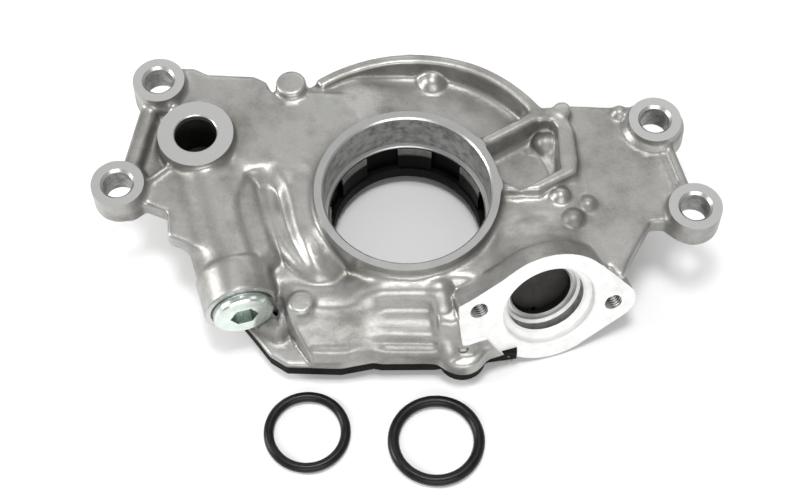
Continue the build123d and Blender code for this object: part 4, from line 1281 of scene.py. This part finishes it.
def thread_profile(radius, depth, pitch, turns, steps=40, rows=6):
    """A threaded rod as a grid of points, row by row.

    The phase is the height in pitches, less the angle in turns. The radius grows by the
    depth times |2 phase - 1|, so it rises and falls once per pitch along a helix.
    """
    angle = np.arange(steps) * 2 * np.pi / steps
    row = np.arange(turns * rows + 1)
    height = row[:, None] * pitch / rows - turns * pitch
    phase = (height / pitch - angle[None, :] / (2 * np.pi)) % 1.0
    reach = radius + depth * np.abs(2 * phase - 1)
    height = np.broadcast_to(height, reach.shape)
    local = np.stack([reach * np.cos(angle), reach * np.sin(angle), height], axis=-1)
    return local.reshape(-1, 3), row.size, steps


def threaded_tool(place, axes, radius, depth, pitch, turns):
    """Taps a hole with a threaded rod that starts just outside a face and runs inward.

    The rod's ridge cuts the thread's root, which takes a near-black painted shade, and its valley
    the crest.
    """
    local, rows, steps = thread_profile(radius, depth, pitch, turns)
    ends = np.array([[0, 0, local[0, 2]], [0, 0, local[-1, 2]]])
    points = np.vstack([local, ends])
    points[:, 2] += THREAD_START
    reach = np.hypot(local[:, 0], local[:, 1]).reshape(rows, steps)
    root = (reach[:-1] > radius + ROOT_SHARE * depth).ravel()
    # Thread roots and the rod's ends take the near-black painted shade.
    finish = np.concatenate([np.where(root, PAINTED_SHADE, BRIGHT), np.full(2 * steps, PAINTED_SHADE)])
    machine(housing, points @ axes + place, closed_grid(rows, steps), finish)


# %% Cuts in the valve boss and the pickup flange
FACING_STEPS = 180
FACING_ROUNDS = 60
FACING_MARGIN = 0.3


def face_pickup():
    """Mills the pickup flange level, over its own outline and a little more.

    Along each angle, the reach moves by the distance that is still missing until it settles.
    """
    angle = np.linspace(0, 2 * np.pi, FACING_STEPS + 1)[:-1]
    reach = np.full(angle.shape, 4.0)
    for _ in range(FACING_ROUNDS):
        reach -= pickup_plan(reach * np.cos(angle), reach * np.sin(angle)) - FACING_MARGIN
    outline = np.column_stack([reach * np.cos(angle), reach * np.sin(angle)])
    points, faces = pulled(outline, 0, 4, PICKUP_PLACE, PICKUP_AXES)
    # The milled face takes the near-white painted light.
    machine(housing, points, faces, np.full(len(faces), PAINTED_LIGHT_FACE))


# %% Bores and threads
def bore_pickup():
    """Bores the stepped inlet of the pickup flange and taps its two holes."""
    lathe_tool([(0, 6), (15.0, 6), (15.0, 0), (14.6, -0.4), (14.6, -3), (12.9, -3.3),
                (12.2, -4.0), (12.2, -7.0), (11.4, -7.8), (10.2, -7.8), (9.6, -8.4), (9.6, -11),
                (0, -11)], PICKUP_PLACE, PICKUP_AXES, steps=160,
               finishes=[PAINTED_LIGHT_FACE] * 6 + [SATIN, PAINTED_LIGHT_FACE, BRIGHT, BRIGHT, PAINTED_SHADE, PAINTED_SHADE])
    for across, up in PICKUP_HOLES:
        place = PICKUP_PLACE + across * PICKUP_AXES[0] + up * PICKUP_AXES[1]
        threaded_tool(place, PICKUP_AXES, radius=2.45, depth=0.62, pitch=1.0, turns=11)


def bore_valve():
    """Faces the valve boss's end and bores the seat of the plug."""
    lathe_tool([(0, 2.5), (11.8, 2.5), (11.8, 0), (9.9, 0), (9.3, -0.6), (8.0, -0.6), (8.0, -13),
                (7.0, -13), (7.0, -47), (0, -47)], VALVE_END, VALVE_AXES,
               finishes=[BRIGHT] * 5 + [SATIN] + [PAINTED_SHADE] * 3)


face_pickup()
bore_pickup()
bore_valve()
print("after all cuts, the casting has", len(housing.data.polygons), "faces")

# %% [markdown]
# ## Soft shading for the casting
# The skin has few faces where it is nearly flat, so its own shading would show facets. The field
# knows the true direction at each point: its slope. The same field, blurred, also tells where an
# edge is rubbed bright and how deep a point lies in a hollow, which the finish darkens as painted
# shade, so both go into the mesh as attributes that the finish reads.

# %% Reading the field at the mesh's points
def read_field(values, points, cell=CELL):
    """Values of a grid at points in millimetres, weighted between the eight nearest cells."""
    spot = (points - np.array([GX[0], GY[0], GZ[0]])) / cell
    spot = np.clip(spot, 0, np.array(values.shape) - 1.001)
    base = spot.astype(int)
    part = spot - base
    total = np.zeros(len(points), dtype=np.float32)
    for corner in np.ndindex(2, 2, 2):
        weight = np.prod(np.where(corner, part, 1 - part), axis=1)
        total += weight * values[tuple((base + corner).T)]
    return total


# %% Marks for edges and hollows
BLUR_PASSES = 5
COARSE_STEP = 4


def mark_casting(piece):
    """Stores how sharply each point bends outward and how deep it lies in a hollow."""
    points = np.empty(len(piece.data.vertices) * 3, dtype=np.float32)
    piece.data.vertices.foreach_get("co", points)
    points = points.reshape(-1, 3) / MM
    bend = read_field(smooth_field(field, BLUR_PASSES) - field, points)
    coarse = smooth_field(field[::COARSE_STEP, ::COARSE_STEP, ::COARSE_STEP], BLUR_PASSES)
    # The depth drives the cast finish's painted shade in hollows.
    depth = read_field(field, points) - read_field(coarse, points, COARSE_STEP * CELL)
    for label, values in (("edge", bend), ("hollow", depth)):
        layer = piece.data.attributes.new(label, "FLOAT", "POINT")
        layer.data.foreach_set("value", values.astype(np.float32))
        print(label, "from", round(float(values.min()), 2), "to", round(float(values.max()), 2))
    return points


# %% Shading directions
MACHINED_EDGE_ANGLE = 32
LEAST_AGREEMENT = 0.5


def shade_casting(piece, points):
    """Takes the cast faces' shading directions from the slope of the field.

    A corner keeps its own direction on a machined face, and where the slope's cosine with
    it is small, as at a cut's rim.
    """
    mesh = piece.data
    soften(piece, MACHINED_EDGE_ANGLE)
    corners = len(mesh.loops)
    vertex = np.empty(corners, dtype=np.int32)
    mesh.loops.foreach_get("vertex_index", vertex)
    own = np.empty(corners * 3, dtype=np.float32)
    mesh.corner_normals.foreach_get("vector", own)
    own = own.reshape(-1, 3)
    count = np.empty(len(mesh.polygons), dtype=np.int32)
    finish = np.empty(len(mesh.polygons), dtype=np.int32)
    mesh.polygons.foreach_get("loop_total", count)
    mesh.polygons.foreach_get("material_index", finish)
    softened = smooth_field(field, 1)
    slope = np.column_stack([read_field(part / CELL, points) for part in np.gradient(softened)])
    slope /= np.maximum(np.linalg.norm(slope, axis=1, keepdims=True), 1e-6)
    slope = slope[vertex]
    agrees = (slope * own).sum(axis=1) > LEAST_AGREEMENT
    cast = (np.repeat(finish, count) == AS_CAST) & agrees
    mesh.normals_split_custom_set(np.where(cast[:, None], slope, own).tolist())


shade_casting(housing, mark_casting(housing))
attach(housing, "housing")
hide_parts("housing")
print("the machined housing has", len(housing.data.polygons), "faces")

# %% [markdown]
# ## Finishes on the CAD pieces
# The cover, its screws, the rotors, the plug, the plunger, the spring and the O-rings are
# plain turned, stamped or moulded pieces. Their solids already have that shape, so each
# keeps its own mesh and only gets a finish.

# %% Finishes
CAD_FINISH = {"cover_plate": COVER, "inner_rotor": SINTERED_SHADED, "outer_rotor": SINTERED_SHADED,
              "relief_plug": ZINC, "relief_plunger": GROUND, "relief_spring": WIRE,
              "pickup_oring_small": RUBBER, "pickup_oring_large": RUBBER}
for number in range(1, 8):
    CAD_FINISH[f"cover_screw_{number}"] = SCREWS
for node_name, finish in CAD_FINISH.items():
    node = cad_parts[node_name]
    node.data.materials.clear()
    node.data.materials.append(finish)
print(len(CAD_FINISH), "CAD pieces have their finish")
